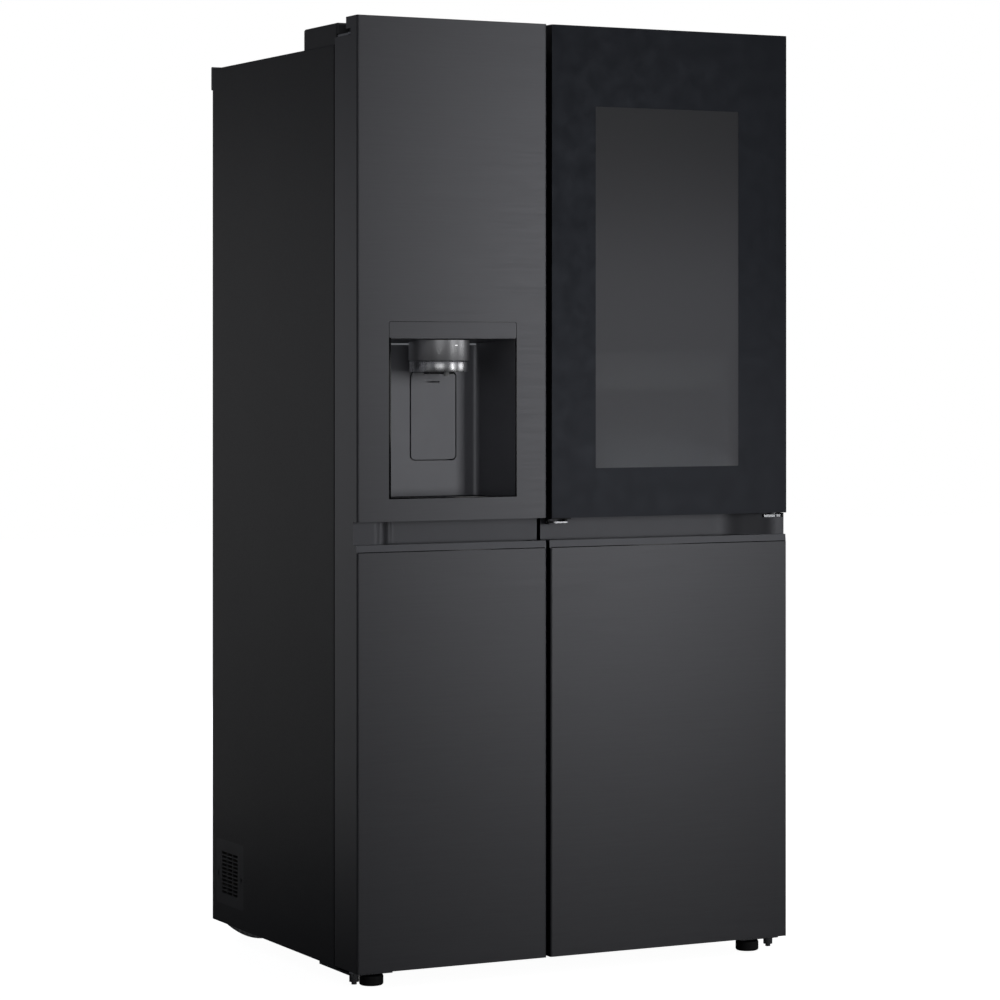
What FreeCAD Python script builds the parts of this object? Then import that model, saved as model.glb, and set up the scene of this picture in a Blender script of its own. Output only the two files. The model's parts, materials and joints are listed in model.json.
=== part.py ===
import FreeCAD, Part
import math
import os

# Side-by-side refrigerator: freezer door with water and ice dispenser on the left, refrigerator door
# with a glazed outer door on the right.  Millimetres, +Z up, front towards -Y, origin on the floor
# under the middle of the appliance.

V = FreeCAD.Vector

# Overall size
WIDTH, DEPTH, HEIGHT = 913.0, 735.0, 1790.0
SIDE = WIDTH / 2
FRONT = -DEPTH / 2
BACK = DEPTH / 2

# Cabinet
CASE_FRONT, CASE_BACK = -258.5, 359.5
CASE_BOTTOM, CASE_TOP = 30.0, 1744.0
SHEET = 1.0                      # steel sheet of the case
PLASTIC = 2.0                    # vacuum-formed liner wall
HEM = 25.0                       # width of the case's front hem
HEM_BOTTOM = 50.0                # top of the bottom rail, where hem and liner flanges start
CASE_ROUND = 3.0
FOAM_FRONT = CASE_FRONT + PLASTIC
FOAM_BOTTOM = CASE_BOTTOM + SHEET

# Compartments
FREEZER = (-404.0, -96.0)
FRIDGE = (-32.0, 404.0)
MULLION = (-88.0, -40.0)
CAVITY_Z = (120.0, 1684.0)
CAVITY_BACK = 300.0
STEP_FRONT, STEP_TOP = 90.0, 310.0        # rear-bottom step over the machine compartment
CAVITY_ROUND = 12.0

# Machine compartment
MACHINE_SIDE = 440.0
MACHINE_FRONT, MACHINE_TOP = 130.0, 270.0
BASE_FRONT = 116.0
BASE_Z = (29.0, 31.0)

# Side vents
VENT_Y, VENT_Z = (193.0, 338.0), (68.0, 197.0)
GRILLE_Y, GRILLE_Z = (224.0, 309.0), (90.0, 173.0)
VENT_THICK = 3.0

# Doors
DOOR_BACK = -263.5
DOOR_BOTTOM = 32.0
FREEZER_DOOR = (-SIDE, -68.0)
FRIDGE_DOOR = (-60.0, SIDE)
DOOR_SHEET = 1.2
DOOR_ROUND = 3.5
SEAM = 860.0                     # lower edge of the upper panels
CAP_TOP_Z, CAP_BOTTOM_Z = 1750.0, 60.0
DYKE_Z = (140.0, 1664.0)
DYKE_BACK = -240.0
DYKE_WIDTH = 14.0
GASKET_Z = (50.0, 1736.0)
GASKET_WIDTH = 14.0
GASKET_BACK = CASE_FRONT - 0.3

# Door hinges: one vertical axis on each side of the cabinet
HINGE_X, HINGE_Y = 442.0, -320.0
PIN_R = 6.0
RUNNING = 0.05                   # radial running clearance
BUSH_R = 11.0
ARM_Z = (1758.0, 1762.0)
NOTCH_FLOOR = 1756.0
NOTCH_INNER = 428.0
NOTCH_FRONT = -316.0
SLOT_FRONT, SLOT_TOP = -337.0, 1768.0
BRACKET_Z = (24.0, 28.0)

# Handle band across both doors
BAND_BOTTOM = 803.0              # top edge of the lower panels
LIP_TOP = 817.0
LIP_SETBACK, LIP_LEAN = 3.0, 1.5
GRIP_BACK = -324.5               # rear wall of the deep part of the recess
INSERT_BACK, INSERT_BOTTOM = -312.0, 780.0
FINGER_Y, FINGER_BOTTOM = (-357.0, -332.0), 788.0
LEFT_SHALLOW = (-349.0, -396.0, -376.5, 38.0, 25.0)     # depth plane, ends and roundings of its run-out
RIGHT_SHALLOW = (-356.0, 430.0, 350.0, 110.0, 150.0)

# Glazed outer door
OUTER_DOOR = (-57.0, 456.0)
OUTER_Z = (859.0, HEIGHT)
GLASS_BACK = FRONT + 4.0
OUTER_BACK = -323.5
OUTER_SWEEP_BACK = -318.0        # as far back as its hinge corner swings
FRAME_FRONT = -320.5             # front of the inner door behind the outer door
WINDOW_X, WINDOW_Z = (34.0, 360.0), (930.0, 1660.0)
LEVER_X, LEVER_PIVOT = (-47.0, -16.0), (-334.0, 850.0)     # width, and y and z of its axis
OUTER_HINGE = (447.0, -335.0)
OUTER_PIN_R = 4.0
EAR_X, EAR_FRONT, EAR_BOTTOM = 430.0, -343.0, 1718.0
OUTER_NOTCH = (426.0, -348.0, 1715.0)
POCKET_X, POCKET_Z, POCKET_BACK = (48.0, 352.0), (925.0, 1668.0), -152.0
POCKET_WALL = 3.0

# Dispenser in the freezer door
DISP_X = -262.0
DISP_HALF, DISP_HALF_BACK, DISP_BACK_ROUND = 131.0, 102.0, 13.0
DISP_Z = (901.0, 1228.5)
STRIP_BOTTOM = 1198.0
DISP_CEILING, DISP_CEILING_FRONT = 1189.0, 1197.5     # the ceiling rises towards the front
DISP_BACK = -255.0
DISP_WALL = 3.0
HEAD_X, HEAD_Y, HEAD_R = -262.0, -304.0, 57.0
HEAD_BOTTOM, HEAD_TOP = 1156.0, 1195.0
RING_R, RING_BOTTOM = 55.8, 1135.0
NOZZLE = (-259.0, -330.0)
PADDLE_X, PADDLE_HALF, PADDLE_GAP = -251.5, 46.0, 2.6
SLIT_HALF, SLIT_Z = 13.0, (1114.6, 1117.2)
PADDLE_Z = (970.0, 1133.0)
PADDLE_PIVOT = (-251.0, 1127.0)     # y and z of its axis
PADDLE_POCKET_BACK = -236.0
CHUTE_HALF, CHUTE_WELL_GAP = 27.0, 8.0
AUGER_Z, AUGER_Y = 1402.0, (-128.0, 96.0)
BULGE_X, BULGE_Z, BULGE_BACK = (-378.0, -146.0), (885.0, 1345.0), -212.0

# Shelves, bins and drawers
SHELF_THICK = 5.0
FREEZER_SHELVES = (545.0, 800.0, 1070.0, 1330.0)
FRIDGE_SHELVES = (605.0, 860.0, 1130.0, 1400.0)
RIB_DEPTH, RIB_HEIGHT = 10.0, 6.0
DRAWER_FRONT = -115.0
UPPER_DRAWER_Z, LOWER_DRAWER_Z = (322.0, 528.0), (128.0, 304.0)
BIN_WALL = 2.5
FREEZER_BINS = ((600.0, 700.0), (740.0, 850.0), (1400.0, 1490.0), (1555.0, 1640.0))
FRIDGE_BINS = ((600.0, 700.0), (740.0, 850.0))
POCKET_BINS = ((945.0, 1092.0), (1171.0, 1272.0), (1425.0, 1528.0))

# Rear rollers and front feet
ROLLER_X, ROLLER_Y, ROLLER_R, ROLLER_WIDTH = 396.0, 325.0, 22.0, 20.0
AXLE_R = 4.0
FOOT_X, FOOT_Y, FOOT_R = 402.0, -307.5, 22.5
STUD_R = 5.0


# ---------------------------------------------------------------- helpers

def box(x, y, z):
    """Block between the (low, high) pairs x, y and z."""
    return Part.makeBox(x[1] - x[0], y[1] - y[0], z[1] - z[0], V(x[0], y[0], z[0]))


def rod(start, end, radius):
    """Round bar between two points."""
    run = V(*end) - V(*start)
    return Part.makeCylinder(radius, run.Length, V(*start), run)


def post(x, y, z, radius):
    """Upright round bar."""
    return rod((x, y, z[0]), (x, y, z[1]), radius)


def tube(start, end, outer, inner):
    return rod(start, end, outer).cut(rod(start, end, inner))


def edges_along(shape, axis):
    """Straight edges of a shape that run along an axis."""
    index = "xyz".index(axis)
    found = []
    for edge in shape.Edges:
        run = edge.Vertexes[-1].Point - edge.Vertexes[0].Point
        if run.Length > 1e-6 and abs(run[index]) / run.Length > 0.999:
            found.append(edge)
    return found


def soft_box(x, y, z, radius, axis):
    """Block with its four edges along one axis rounded."""
    block = box(x, y, z)
    return block.makeFillet(radius, edges_along(block, axis))


def mirrored(shape):
    """The same shape on the other side of the appliance's middle plane."""
    return shape.mirror(V(0, 0, 0), V(1, 0, 0))


def on_side(shape, side):
    """A shape drawn for the left side, for side -1 (left) or +1 (right)."""
    return shape if side < 0 else mirrored(shape)


def inset(span, amount):
    return (span[0] + amount, span[1] - amount)


def ring(x, z, y, width, radius):
    """Rectangular picture-frame ring in the front plane."""
    outer = soft_box(x, y, z, radius, "y")
    inner = soft_box(inset(x, width), (y[0] - 1, y[1] + 1), inset(z, width), max(radius - width, 2.0), "y")
    return outer.cut(inner)


def prism_x(points, x):
    """Outline in the side view, given as (y, z) points, run along X."""
    corners = [V(x[0], y, z) for y, z in points]
    face = Part.Face(Part.makePolygon(corners + corners[:1]))
    return face.extrude(V(x[1] - x[0], 0, 0))


def prism_z(points, z):
    """Outline in plan, given as (x, y) points, run along Z."""
    corners = [V(x, y, z[0]) for x, y in points]
    face = Part.Face(Part.makePolygon(corners + corners[:1]))
    return face.extrude(V(0, 0, z[1] - z[0]))


def slots(axis, depth, u, v, counts, lands):
    """Grid of slots through a plate square to an axis; lands are the bars left between the slots."""
    u_pitch = (u[1] - u[0] + lands[0]) / counts[0]
    v_pitch = (v[1] - v[0] + lands[1]) / counts[1]
    cuts = []
    for column in range(counts[0]):
        for row in range(counts[1]):
            across = (u[0] + column * u_pitch, u[0] + (column + 1) * u_pitch - lands[0])
            along = (v[0] + row * v_pitch, v[0] + (row + 1) * v_pitch - lands[1])
            spans = [across, along]
            spans.insert("xyz".index(axis), depth)
            cuts.append(box(*spans))
    return Part.makeCompound(cuts)


def open_box(x, y, z, wall):
    """Tray, bin or drawer: a box with walls and a floor, open at the top."""
    outer = soft_box(x, y, z, 4 * wall, "z")
    inner = soft_box(inset(x, wall), inset(y, wall), (z[0] + wall, z[1] + 1), 3 * wall, "z")
    return outer.cut(inner)


def save(name, *solids):
    """Write one named sub-part, made of one or more separate solids."""
    shape = solids[0] if len(solids) == 1 else Part.makeCompound(list(solids))
    shape.exportStep("parts/" + name + ".step")


# ---------------------------------------------------------------- fans

def axial_fan(radius, hub, width, blades):
    """Fan along +Z from the origin, with a bore for its motor shaft."""
    wheel = Part.makeCylinder(hub, width)
    chord, thick, pitch = width * 1.25, 2.0, 38.0
    for index in range(blades):
        blade = Part.makeBox(radius - hub + 4, thick, chord, V(hub - 4, -thick / 2, -chord / 2))
        blade.rotate(V(0, 0, 0), V(1, 0, 0), pitch)
        blade.translate(V(0, 0, width / 2))
        blade.rotate(V(0, 0, 0), V(0, 0, 1), 360.0 * index / blades)
        wheel = wheel.fuse(blade)
    limit = Part.makeCylinder(radius, width)
    bore = Part.makeCylinder(3.0 + RUNNING, width - 4)
    return wheel.common(limit).cut(bore)


def fan_housing(radius, length, motor, shaft):
    """Ring round a fan, with three struts that carry its motor; the fan sits on the +Z side."""
    gap, wall, strut = 4.0, 3.0, 4.0
    shape = tube((0, 0, -strut), (0, 0, length), radius + gap + wall, radius + gap)
    shape = shape.fuse(Part.makeCylinder(motor, 22.0, V(0, 0, -22.0)))
    shape = shape.fuse(Part.makeCylinder(3.0, shaft))
    for index in range(3):
        arm = box((0, radius + gap + 1), (-3, 3), (-strut, 0))
        arm.rotate(V(0, 0, 0), V(0, 0, 1), 90.0 + 120.0 * index)
        shape = shape.fuse(arm)
    return shape


def place(shape, point, direction):
    """Turn a shape's +Z to a direction and move its origin to a point."""
    turned = shape.copy()
    turned.Placement = FreeCAD.Placement(V(*point), FreeCAD.Rotation(V(0, 0, 1), V(*direction)))
    return turned


# ---------------------------------------------------------------- cabinet

def cavity(span, grow, front):
    """Inside space of a compartment, grown outwards by a wall thickness."""
    radius = CAVITY_ROUND + grow
    x = inset(span, -grow)
    top = CAVITY_Z[1] + grow
    main = soft_box(x, (front, STEP_FRONT + grow), (CAVITY_Z[0] - grow, top), radius, "y")
    rear = soft_box(x, (STEP_FRONT - 20, CAVITY_BACK + grow), (STEP_TOP - grow, top), radius, "y")
    return main.fuse(rear)


def case_block(shrink, y):
    """The case's outer block with rounded top edges, shrunk by a sheet thickness."""
    x = (-SIDE + shrink, SIDE - shrink)
    block = soft_box(x, y, (CASE_BOTTOM - 30, CASE_TOP - shrink), CASE_ROUND - shrink, "y")
    return block.cut(box((-SIDE - 1, SIDE + 1), (y[0] - 1, y[1] + 1), (-1, CASE_BOTTOM)))


def vent_opening(grow, x):
    return soft_box(x, inset(VENT_Y, -grow), inset(VENT_Z, -grow), 6.0, "x")


def cabinet_shell():
    """Painted steel case: sides, top, front hem, centre mullion strip and bottom rail."""
    hem_y = (CASE_FRONT, FOAM_FRONT)
    sheet = case_block(0, (CASE_FRONT, CASE_BACK - SHEET))
    sheet = sheet.cut(case_block(SHEET, (CASE_FRONT - 1, CASE_BACK)))
    hem_inner = box((-SIDE + HEM, SIDE - HEM), (CASE_FRONT - 1, FOAM_FRONT + 1), (0, CASE_TOP - HEM))
    hem = case_block(SHEET, hem_y).cut(hem_inner)
    hem = hem.cut(box((-SIDE, SIDE), (CASE_FRONT - 1, FOAM_FRONT + 1), (0, HEM_BOTTOM)))
    shell = sheet.fuse(hem)
    opening = vent_opening(0, (-SIDE - 1, -SIDE + 2))
    shell = shell.cut(opening).cut(mirrored(opening))
    width = (-SIDE + SHEET, SIDE - SHEET)
    mullion = box(MULLION, hem_y, (HEM_BOTTOM, CASE_TOP - HEM))
    rail = box(width, hem_y, (CASE_BOTTOM, HEM_BOTTOM))
    floor = box(width, (FOAM_FRONT - 1, BASE_FRONT), (CASE_BOTTOM, FOAM_BOTTOM))
    save("cabinet_shell", shell.multiFuse([mullion, rail, floor]))


def foam_insulation():
    foam = case_block(SHEET, (FOAM_FRONT, CASE_BACK - SHEET))
    foam = foam.cut(box((-SIDE, SIDE), (-SIDE, SIDE), (0, FOAM_BOTTOM)))
    for span in (FREEZER, FRIDGE):
        foam = foam.cut(cavity(span, PLASTIC, FOAM_FRONT - 1))
    machine = (-MACHINE_SIDE, MACHINE_SIDE)
    foam = foam.cut(box(machine, (MACHINE_FRONT, CASE_BACK), (0, MACHINE_TOP)))
    seat = vent_opening(0, (-SIDE, -SIDE + VENT_THICK))
    duct = box((-SIDE, -MACHINE_SIDE + 1), inset(VENT_Y, 8), inset(VENT_Z, 8))
    for cut in (seat, duct):
        foam = foam.cut(cut).cut(mirrored(cut))
    save("foam_insulation", foam)


def shelf_ribs(span, heights, y):
    """Ledges on both side walls of a compartment, their tops at the given heights."""
    ribs = []
    for top in heights:
        z = (top - RIB_HEIGHT, top)
        ribs.append(box((span[0] - 1, span[0] + RIB_DEPTH), y, z))
        ribs.append(box((span[1] - RIB_DEPTH, span[1] + 1), y, z))
    return ribs


def liner(name, span, flange, shelves, back):
    shape = cavity(span, PLASTIC, CASE_FRONT)
    shape = shape.fuse(box(flange, (CASE_FRONT, FOAM_FRONT), (HEM_BOTTOM, CASE_TOP - HEM)))
    shape = shape.cut(cavity(span, 0, CASE_FRONT - 1))
    ribs = shelf_ribs(span, shelves, (DRAWER_FRONT + 10, back))
    ribs += shelf_ribs(span, (UPPER_DRAWER_Z[1] - 8,), (DRAWER_FRONT + 10, back))
    ribs += shelf_ribs(span, (LOWER_DRAWER_Z[1] - 8,), (DRAWER_FRONT + 10, STEP_FRONT - 6))
    save(name, shape.multiFuse(ribs))


def rear_parts():
    panel = case_block(0, (CASE_BACK - SHEET, CASE_BACK))
    panel = panel.cut(box((-MACHINE_SIDE, MACHINE_SIDE), (CASE_BACK - 5, CASE_BACK + 5), (0, 266)))
    spacer = soft_box((-SIDE, SIDE), (CASE_BACK, BACK), (1701, 1748), 3.0, "x")
    save("rear_panel", panel.fuse(spacer))

    cover = box((-439.5, 439.5), (CASE_BACK - SHEET, CASE_BACK), (33, 265.5))
    depth = (CASE_BACK - 5, CASE_BACK + 5)
    for centre in (-190, 190):
        cover = cover.cut(slots("y", depth, (centre - 90, centre + 90), (70, 225), (3, 10), (8, 8)))
    cover = cover.cut(rod((330, CASE_BACK - 5, 100), (330, CASE_BACK + 5, 100), 12))
    cover = cover.cut(rod((-350, CASE_BACK - 5, 200), (-350, CASE_BACK + 5, 200), 15))
    save("machine_rear_cover", cover)

    gland = rod((330, CASE_BACK - 18, 100), (330, CASE_BACK, 100), 11.9)
    gland = gland.fuse(rod((330, CASE_BACK, 100), (330, BACK - 1, 100), 17))
    gland = gland.cut(rod((330, CASE_BACK - 25, 100), (330, BACK + 1, 100), 4))
    save("power_inlet_gland", gland)

    valve = box((-385, -315), (CASE_BACK - 60, CASE_BACK - 22), (180, 222))
    valve = valve.fuse(rod((-350, CASE_BACK - 23, 200), (-350, BACK - 1, 200), 13))
    valve = valve.cut(rod((-350, CASE_BACK - 6, 200), (-350, BACK, 200), 9))
    for offset in (-20, 20):
        coil = post(-350 + offset, CASE_BACK - 41, (221, 248), 12)
        valve = valve.fuse(coil)
    save("water_inlet_valve", valve)


def vent_cover():
    cover = vent_opening(0, (-SIDE, -SIDE + VENT_THICK))
    lip = vent_opening(-4, (-SIDE + VENT_THICK - 0.1, -MACHINE_SIDE))
    lip = lip.cut(box((-SIDE, -MACHINE_SIDE + 5), inset(VENT_Y, 10.5), inset(VENT_Z, 10.5)))
    cover = cover.fuse(lip.common(box((-SIDE, -MACHINE_SIDE), inset(VENT_Y, 8), inset(VENT_Z, 8))))
    return cover.cut(slots("x", (-SIDE - 5, -SIDE + 5), GRILLE_Y, GRILLE_Z, (3, 11), (3.0, 2.6)))


# ---------------------------------------------------------------- machine compartment

def machine_base_plate():
    """Galvanised base that carries the compressor, with arched side skirts and roller ears."""
    plate = box((-450, 450), (BASE_FRONT, CASE_BACK - SHEET), BASE_Z)
    ears = []
    for side in (-1, 1):
        arch = Part.Arc(V(-439, 100, BASE_Z[0]), V(-439, 225, 15), V(-439, 350, BASE_Z[0])).toShape()
        chord = Part.LineSegment(V(-439, 350, BASE_Z[0]), V(-439, 100, BASE_Z[0])).toShape()
        skirt = Part.Face(Part.Wire([arch, chord])).extrude(V(-2, 0, 0))
        skirt = skirt.common(box((-450, 0), (BASE_FRONT, 400), (0, 40)))
        ears.append(on_side(skirt, side))
        window = box((-ROLLER_X - 12, -ROLLER_X + 12), (ROLLER_Y - 25, ROLLER_Y + 25), (20, 40))
        plate = plate.cut(on_side(window, side))
        for inner in (-ROLLER_X - 14, -ROLLER_X + 12):
            ear = box((inner, inner + 2), (ROLLER_Y - 18, ROLLER_Y + 18), (12, BASE_Z[0] + 1))
            ears.append(on_side(ear, side))
        axle = rod((-ROLLER_X - 14, ROLLER_Y, ROLLER_R), (-ROLLER_X + 14, ROLLER_Y, ROLLER_R), AXLE_R)
        ears.append(on_side(axle, side))
    save("machine_base_plate", plate.multiFuse(ears))


def rollers():
    x = (-ROLLER_X - ROLLER_WIDTH / 2, -ROLLER_X + ROLLER_WIDTH / 2)
    wheel = tube((x[0], ROLLER_Y, ROLLER_R), (x[1], ROLLER_Y, ROLLER_R), ROLLER_R, AXLE_R + RUNNING)
    save("rear_rollers", wheel, mirrored(wheel))


def compressor():
    x, y = 270.0, 235.0
    body_r, low, high = 82.0, 52.0, 222.0
    body = post(x, y, (low, high), body_r)
    rims = [edge for edge in body.Edges if edge.Curve.TypeId == "Part::GeomCircle"]
    body = body.makeFillet(30.0, rims)
    plate = soft_box((x - 90, x + 90), (y - 78, y + 78), (45, 48), 12, "z")
    body = body.fuse(plate).fuse(post(x, y, (48, 60), 45))
    body = body.fuse(box((x - 25, x + 25), (y - 96, y - 78), (100, 150)))
    for dx in (-72, 72):
        for dy in (-60, 60):
            body = body.fuse(post(x + dx, y + dy, (BASE_Z[1], 45), 12))
    save("compressor", body)


def condenser_group():
    """Finned condenser with its pipe to the compressor, then its fan, shroud and drain pan."""
    fins = [box((x, x + 1), (150, 340), (45, 225)) for x in range(-250, -129, 10)]
    pipes = []
    for y in (180, 245, 310):
        for z in (70, 110, 150, 190):
            pipes.append(rod((-256, y, z), (-124, y, z), 4))
    run = [(270, 317, 120), (270, 345, 120), (270, 345, 250),
           (-190, 345, 250), (-190, 310, 250), (-190, 310, 190)]
    for start, end in zip(run, run[1:]):
        pipes.append(rod(start, end, 4))
    for corner in run[1:-1]:
        pipes.append(Part.makeSphere(6, V(*corner)))
    save("condenser", fins[0].multiFuse(fins[1:] + pipes))

    radius, width = 80.0, 30.0
    x, y, z = -66.0, 245.0, 137.0
    shroud = box((x - 4, x), (142, 348), (BASE_Z[1], 240)).cut(rod((x - 5, y, z), (x + 1, y, z), radius + 5))
    shroud = shroud.fuse(place(fan_housing(radius, 32.0, 22.0, width - 4), (x, y, z), (-1, 0, 0)))
    tray = open_box((-264, x + 4), (142, 348), (BASE_Z[1], 44), 2.0)
    save("condenser_fan_shroud", shroud.fuse(tray))
    save("condenser_fan", place(axial_fan(radius, 24.0, width, 7), (x - 1, y, z), (-1, 0, 0)))


# ---------------------------------------------------------------- inside the compartments

def cold_air_parts():
    centre_x = sum(FREEZER) / 2
    fins = [box((x, x + 1), (252, 297), (620, 900)) for x in range(-376, -123, 14)]
    pipes = []
    for y in (264, 286):
        for z in range(645, 890, 46):
            pipes.append(rod((-386, y, z), (-114, y, z), 4))
    save("evaporator", fins[0].multiFuse(fins[1:] + pipes))

    cover_y = (238.0, 241.0)
    fan_z, radius, width = 1000.0, 52.0, 15.0
    cover = box(inset(FREEZER, 1.0), cover_y, (STEP_TOP + 10, 1560))
    cover = cover.cut(rod((centre_x, 230, fan_z), (centre_x, 250, fan_z), radius + 5))
    for z in ((560, 600), (1440, 1500)):
        cover = cover.cut(slots("y", (230, 250), (centre_x - 90, centre_x + 90), z, (3, 4), (8, 6)))
    housing = place(fan_housing(radius, 22.0, 18.0, width - 4), (centre_x, 260, fan_z), (0, -1, 0))
    freezer_cover = cover.fuse(housing)
    fan = place(axial_fan(radius, 18.0, width, 5), (centre_x, 258.5, fan_z), (0, -1, 0))
    save("evaporator_fan", fan)

    middle = sum(FRIDGE) / 2
    duct = soft_box((middle - 90, middle + 90), (276, 300), (STEP_TOP + 20, 1660), 10, "z")
    duct = duct.cut(box((middle - 87, middle + 87), (279, 301), (STEP_TOP + 23, 1657)))
    for z in (480, 740, 1000, 1270, 1540):
        duct = duct.cut(slots("y", (270, 280), (middle - 60, middle + 60), (z, z + 40), (2, 3), (8, 6)))
    save("air_duct_covers", freezer_cover, duct)

    lamps = [soft_box((centre_x - 50, centre_x + 50), (-60, -10), (1676, CAVITY_Z[1]), 10, "z"),
             soft_box((middle - 80, middle + 80), (-60, -10), (1676, CAVITY_Z[1]), 10, "z")]
    save("ceiling_lamps", *lamps)


def shelves():
    freezer = [box(inset(FREEZER, 1.0), (-105, 236), (z, z + SHELF_THICK)) for z in FREEZER_SHELVES]
    fridge = [box(inset(FRIDGE, 1.0), (-105, 270), (z, z + SHELF_THICK)) for z in FRIDGE_SHELVES]
    save("glass_shelves", *freezer, *fridge)


def drawer(span, y, z):
    """Drawer whose side flanges run on the liner's ribs, with a finger scoop in its front."""
    body = open_box(inset(span, 14.0), y, z, 3.0)
    flange_z = (z[1] - 7.8, z[1] - 4.0)
    flange = box(inset(span, 1.0), (y[0] + 8, y[1] - 8), flange_z)
    flange = flange.cut(box(inset(span, 15.0), (y[0] - 1, y[1] + 1), (z[0], z[1] + 1)))
    middle = (span[0] + span[1]) / 2
    scoop = soft_box((middle - 60, middle + 60), (y[0] - 1, y[0] + 5), (z[1] - 26, z[1] + 20), 10, "y")
    return body.fuse(flange).cut(scoop)


def drawers():
    for name, span, back in (("freezer", FREEZER, 228.0), ("crisper", FRIDGE, 262.0)):
        save(name + "_upper_drawer", drawer(span, (DRAWER_FRONT, back), UPPER_DRAWER_Z))
        save(name + "_lower_drawer", drawer(span, (DRAWER_FRONT, STEP_FRONT - 6), LOWER_DRAWER_Z))


def ice_bucket():
    """Open bucket with a nose that drops ice into the door's chute, and a shaft bearing at each end."""
    x, y, z = (-392.0, -132.0), (-140.0, 110.0), (FREEZER_SHELVES[3] + SHELF_THICK, 1540.0)
    bucket = open_box(x, y, z, 3.0)
    nose_x, nose_z = (DISP_X - 40, DISP_X + 40), (1350.0, 1392.0)
    nose = box(nose_x, (-245, y[0] + 1), nose_z)
    bucket = bucket.fuse(nose).cut(box(inset(nose_x, 3), (-242, y[0] + 4), (nose_z[0] + 3, nose_z[1] - 5)))
    bucket = bucket.cut(box((DISP_X - 27, DISP_X + 27), (-242, -222), (nose_z[0] - 1, nose_z[0] + 4)))
    for start, end in ((AUGER_Y[0] - 9.5, AUGER_Y[0] - 3), (AUGER_Y[1] + 5, AUGER_Y[1] + 12)):
        bucket = bucket.fuse(rod((DISP_X, start, AUGER_Z), (DISP_X, end, AUGER_Z), 10))
    bore = rod((DISP_X, AUGER_Y[0] - 5, AUGER_Z), (DISP_X, AUGER_Y[1] + 11, AUGER_Z), 5 + RUNNING)
    save("ice_bucket", bucket.cut(bore))


def ice_auger():
    auger = rod((DISP_X, AUGER_Y[0] - 4.5, AUGER_Z), (DISP_X, AUGER_Y[1] + 10, AUGER_Z), 5)
    for index in range(9):
        station = AUGER_Y[0] + 8 + index * 24
        blade = box((DISP_X - 7, DISP_X + 7), (station, station + 4), (AUGER_Z, AUGER_Z + 34))
        blade.rotate(V(DISP_X, 0, AUGER_Z), V(0, 1, 0), 50.0 * index)
        auger = auger.fuse(blade)
    save("ice_auger", auger)


def ice_maker():
    motor = box((-390, -350), (40, 237.5), (1585, 1660))
    tray = box((-350, -120), (60, 180), (1600, 1640))
    cups = []
    for column in range(6):
        for row in range(2):
            x, y = -340 + column * 37, 68 + row * 56
            cups.append(box((x, x + 31), (y, y + 48), (1608, 1645)))
    hanger = box((-390, -120), (180, 237.5), (1655, 1660)).fuse(box((-350, -120), (178, 182), (1600, 1660)))
    save("ice_maker", motor.fuse(tray).fuse(hanger).cut(Part.makeCompound(cups)))


# ---------------------------------------------------------------- hinges and feet

def top_hinge():
    base = soft_box((-447, -347), (-252, -112), (CASE_TOP, CASE_TOP + 4), 8, "z")
    riser = box((-449, -432), (-250, -224), (CASE_TOP, ARM_Z[1]))
    arm = box((-449, -432), (HINGE_Y, -224), ARM_Z)
    boss = post(-HINGE_X, HINGE_Y, ARM_Z, BUSH_R)
    pin = post(-HINGE_X, HINGE_Y, (1722, ARM_Z[1] + 3), PIN_R)
    shape = base.multiFuse([riser, arm, boss, pin])
    for y in (-215, -130):
        shape = shape.fuse(post(-370, y, (CASE_TOP, CASE_TOP + 10), 7))
    return shape


def hinge_cover():
    x, y, z = (-451.0, -341.0), (-260.0, -100.0), (CASE_TOP, 1785.0)
    outer = box(x, y, z)
    picked = edges_along(outer, "z") + [e for e in outer.Edges if e.BoundBox.ZMin > z[1] - 0.01]
    outer = outer.makeFillet(5.0, picked)
    inner = box(inset(x, 1.8), inset(y, 2.5), (z[0] - 1, z[1] - 2.5))
    gate = box((-450, -431), (y[0] - 1, y[0] + 4), (z[0] - 1, ARM_Z[1] + 2))
    return outer.cut(inner).cut(gate)


def bottom_hinge():
    """Steel bracket under the cabinet's front corner, with the door's lower pin and the foot's hole."""
    plate = box((-455, -372), (-337, -258), BRACKET_Z)
    plate = plate.fuse(box((-455, -372), (-262, -187), (BRACKET_Z[0], CASE_BOTTOM)))
    plate = plate.cut(post(-FOOT_X, FOOT_Y, (20, 32), STUD_R + RUNNING))
    collar = post(-HINGE_X, HINGE_Y, (BRACKET_Z[1], DOOR_BOTTOM - 0.2), 9)
    pin = post(-HINGE_X, HINGE_Y, (BRACKET_Z[0], 60), PIN_R)
    nut = post(-HINGE_X, HINGE_Y, (11, BRACKET_Z[0]), 9)
    tail = post(-HINGE_X, HINGE_Y, (6, 11), 5)
    return plate.multiFuse([collar, pin, nut, tail])


def foot():
    disc = post(-FOOT_X, FOOT_Y, (0, 20), FOOT_R)
    rims = [edge for edge in disc.Edges if edge.Curve.TypeId == "Part::GeomCircle"]
    disc = disc.makeFillet(4.0, rims)
    disc = disc.fuse(post(-FOOT_X, FOOT_Y, (19, 23.5), 13))
    return disc.fuse(post(-FOOT_X, FOOT_Y, (20, 31.5), STUD_R))


def hinges_and_feet():
    for name, part in (("top_hinges", top_hinge()), ("bottom_hinges", bottom_hinge()),
                       ("hinge_covers", hinge_cover()), ("side_vent_covers", vent_cover())):
        save(name, part, mirrored(part))
    save("left_foot", foot())
    save("right_foot", mirrored(foot()))


# ---------------------------------------------------------------- door building blocks

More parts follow.
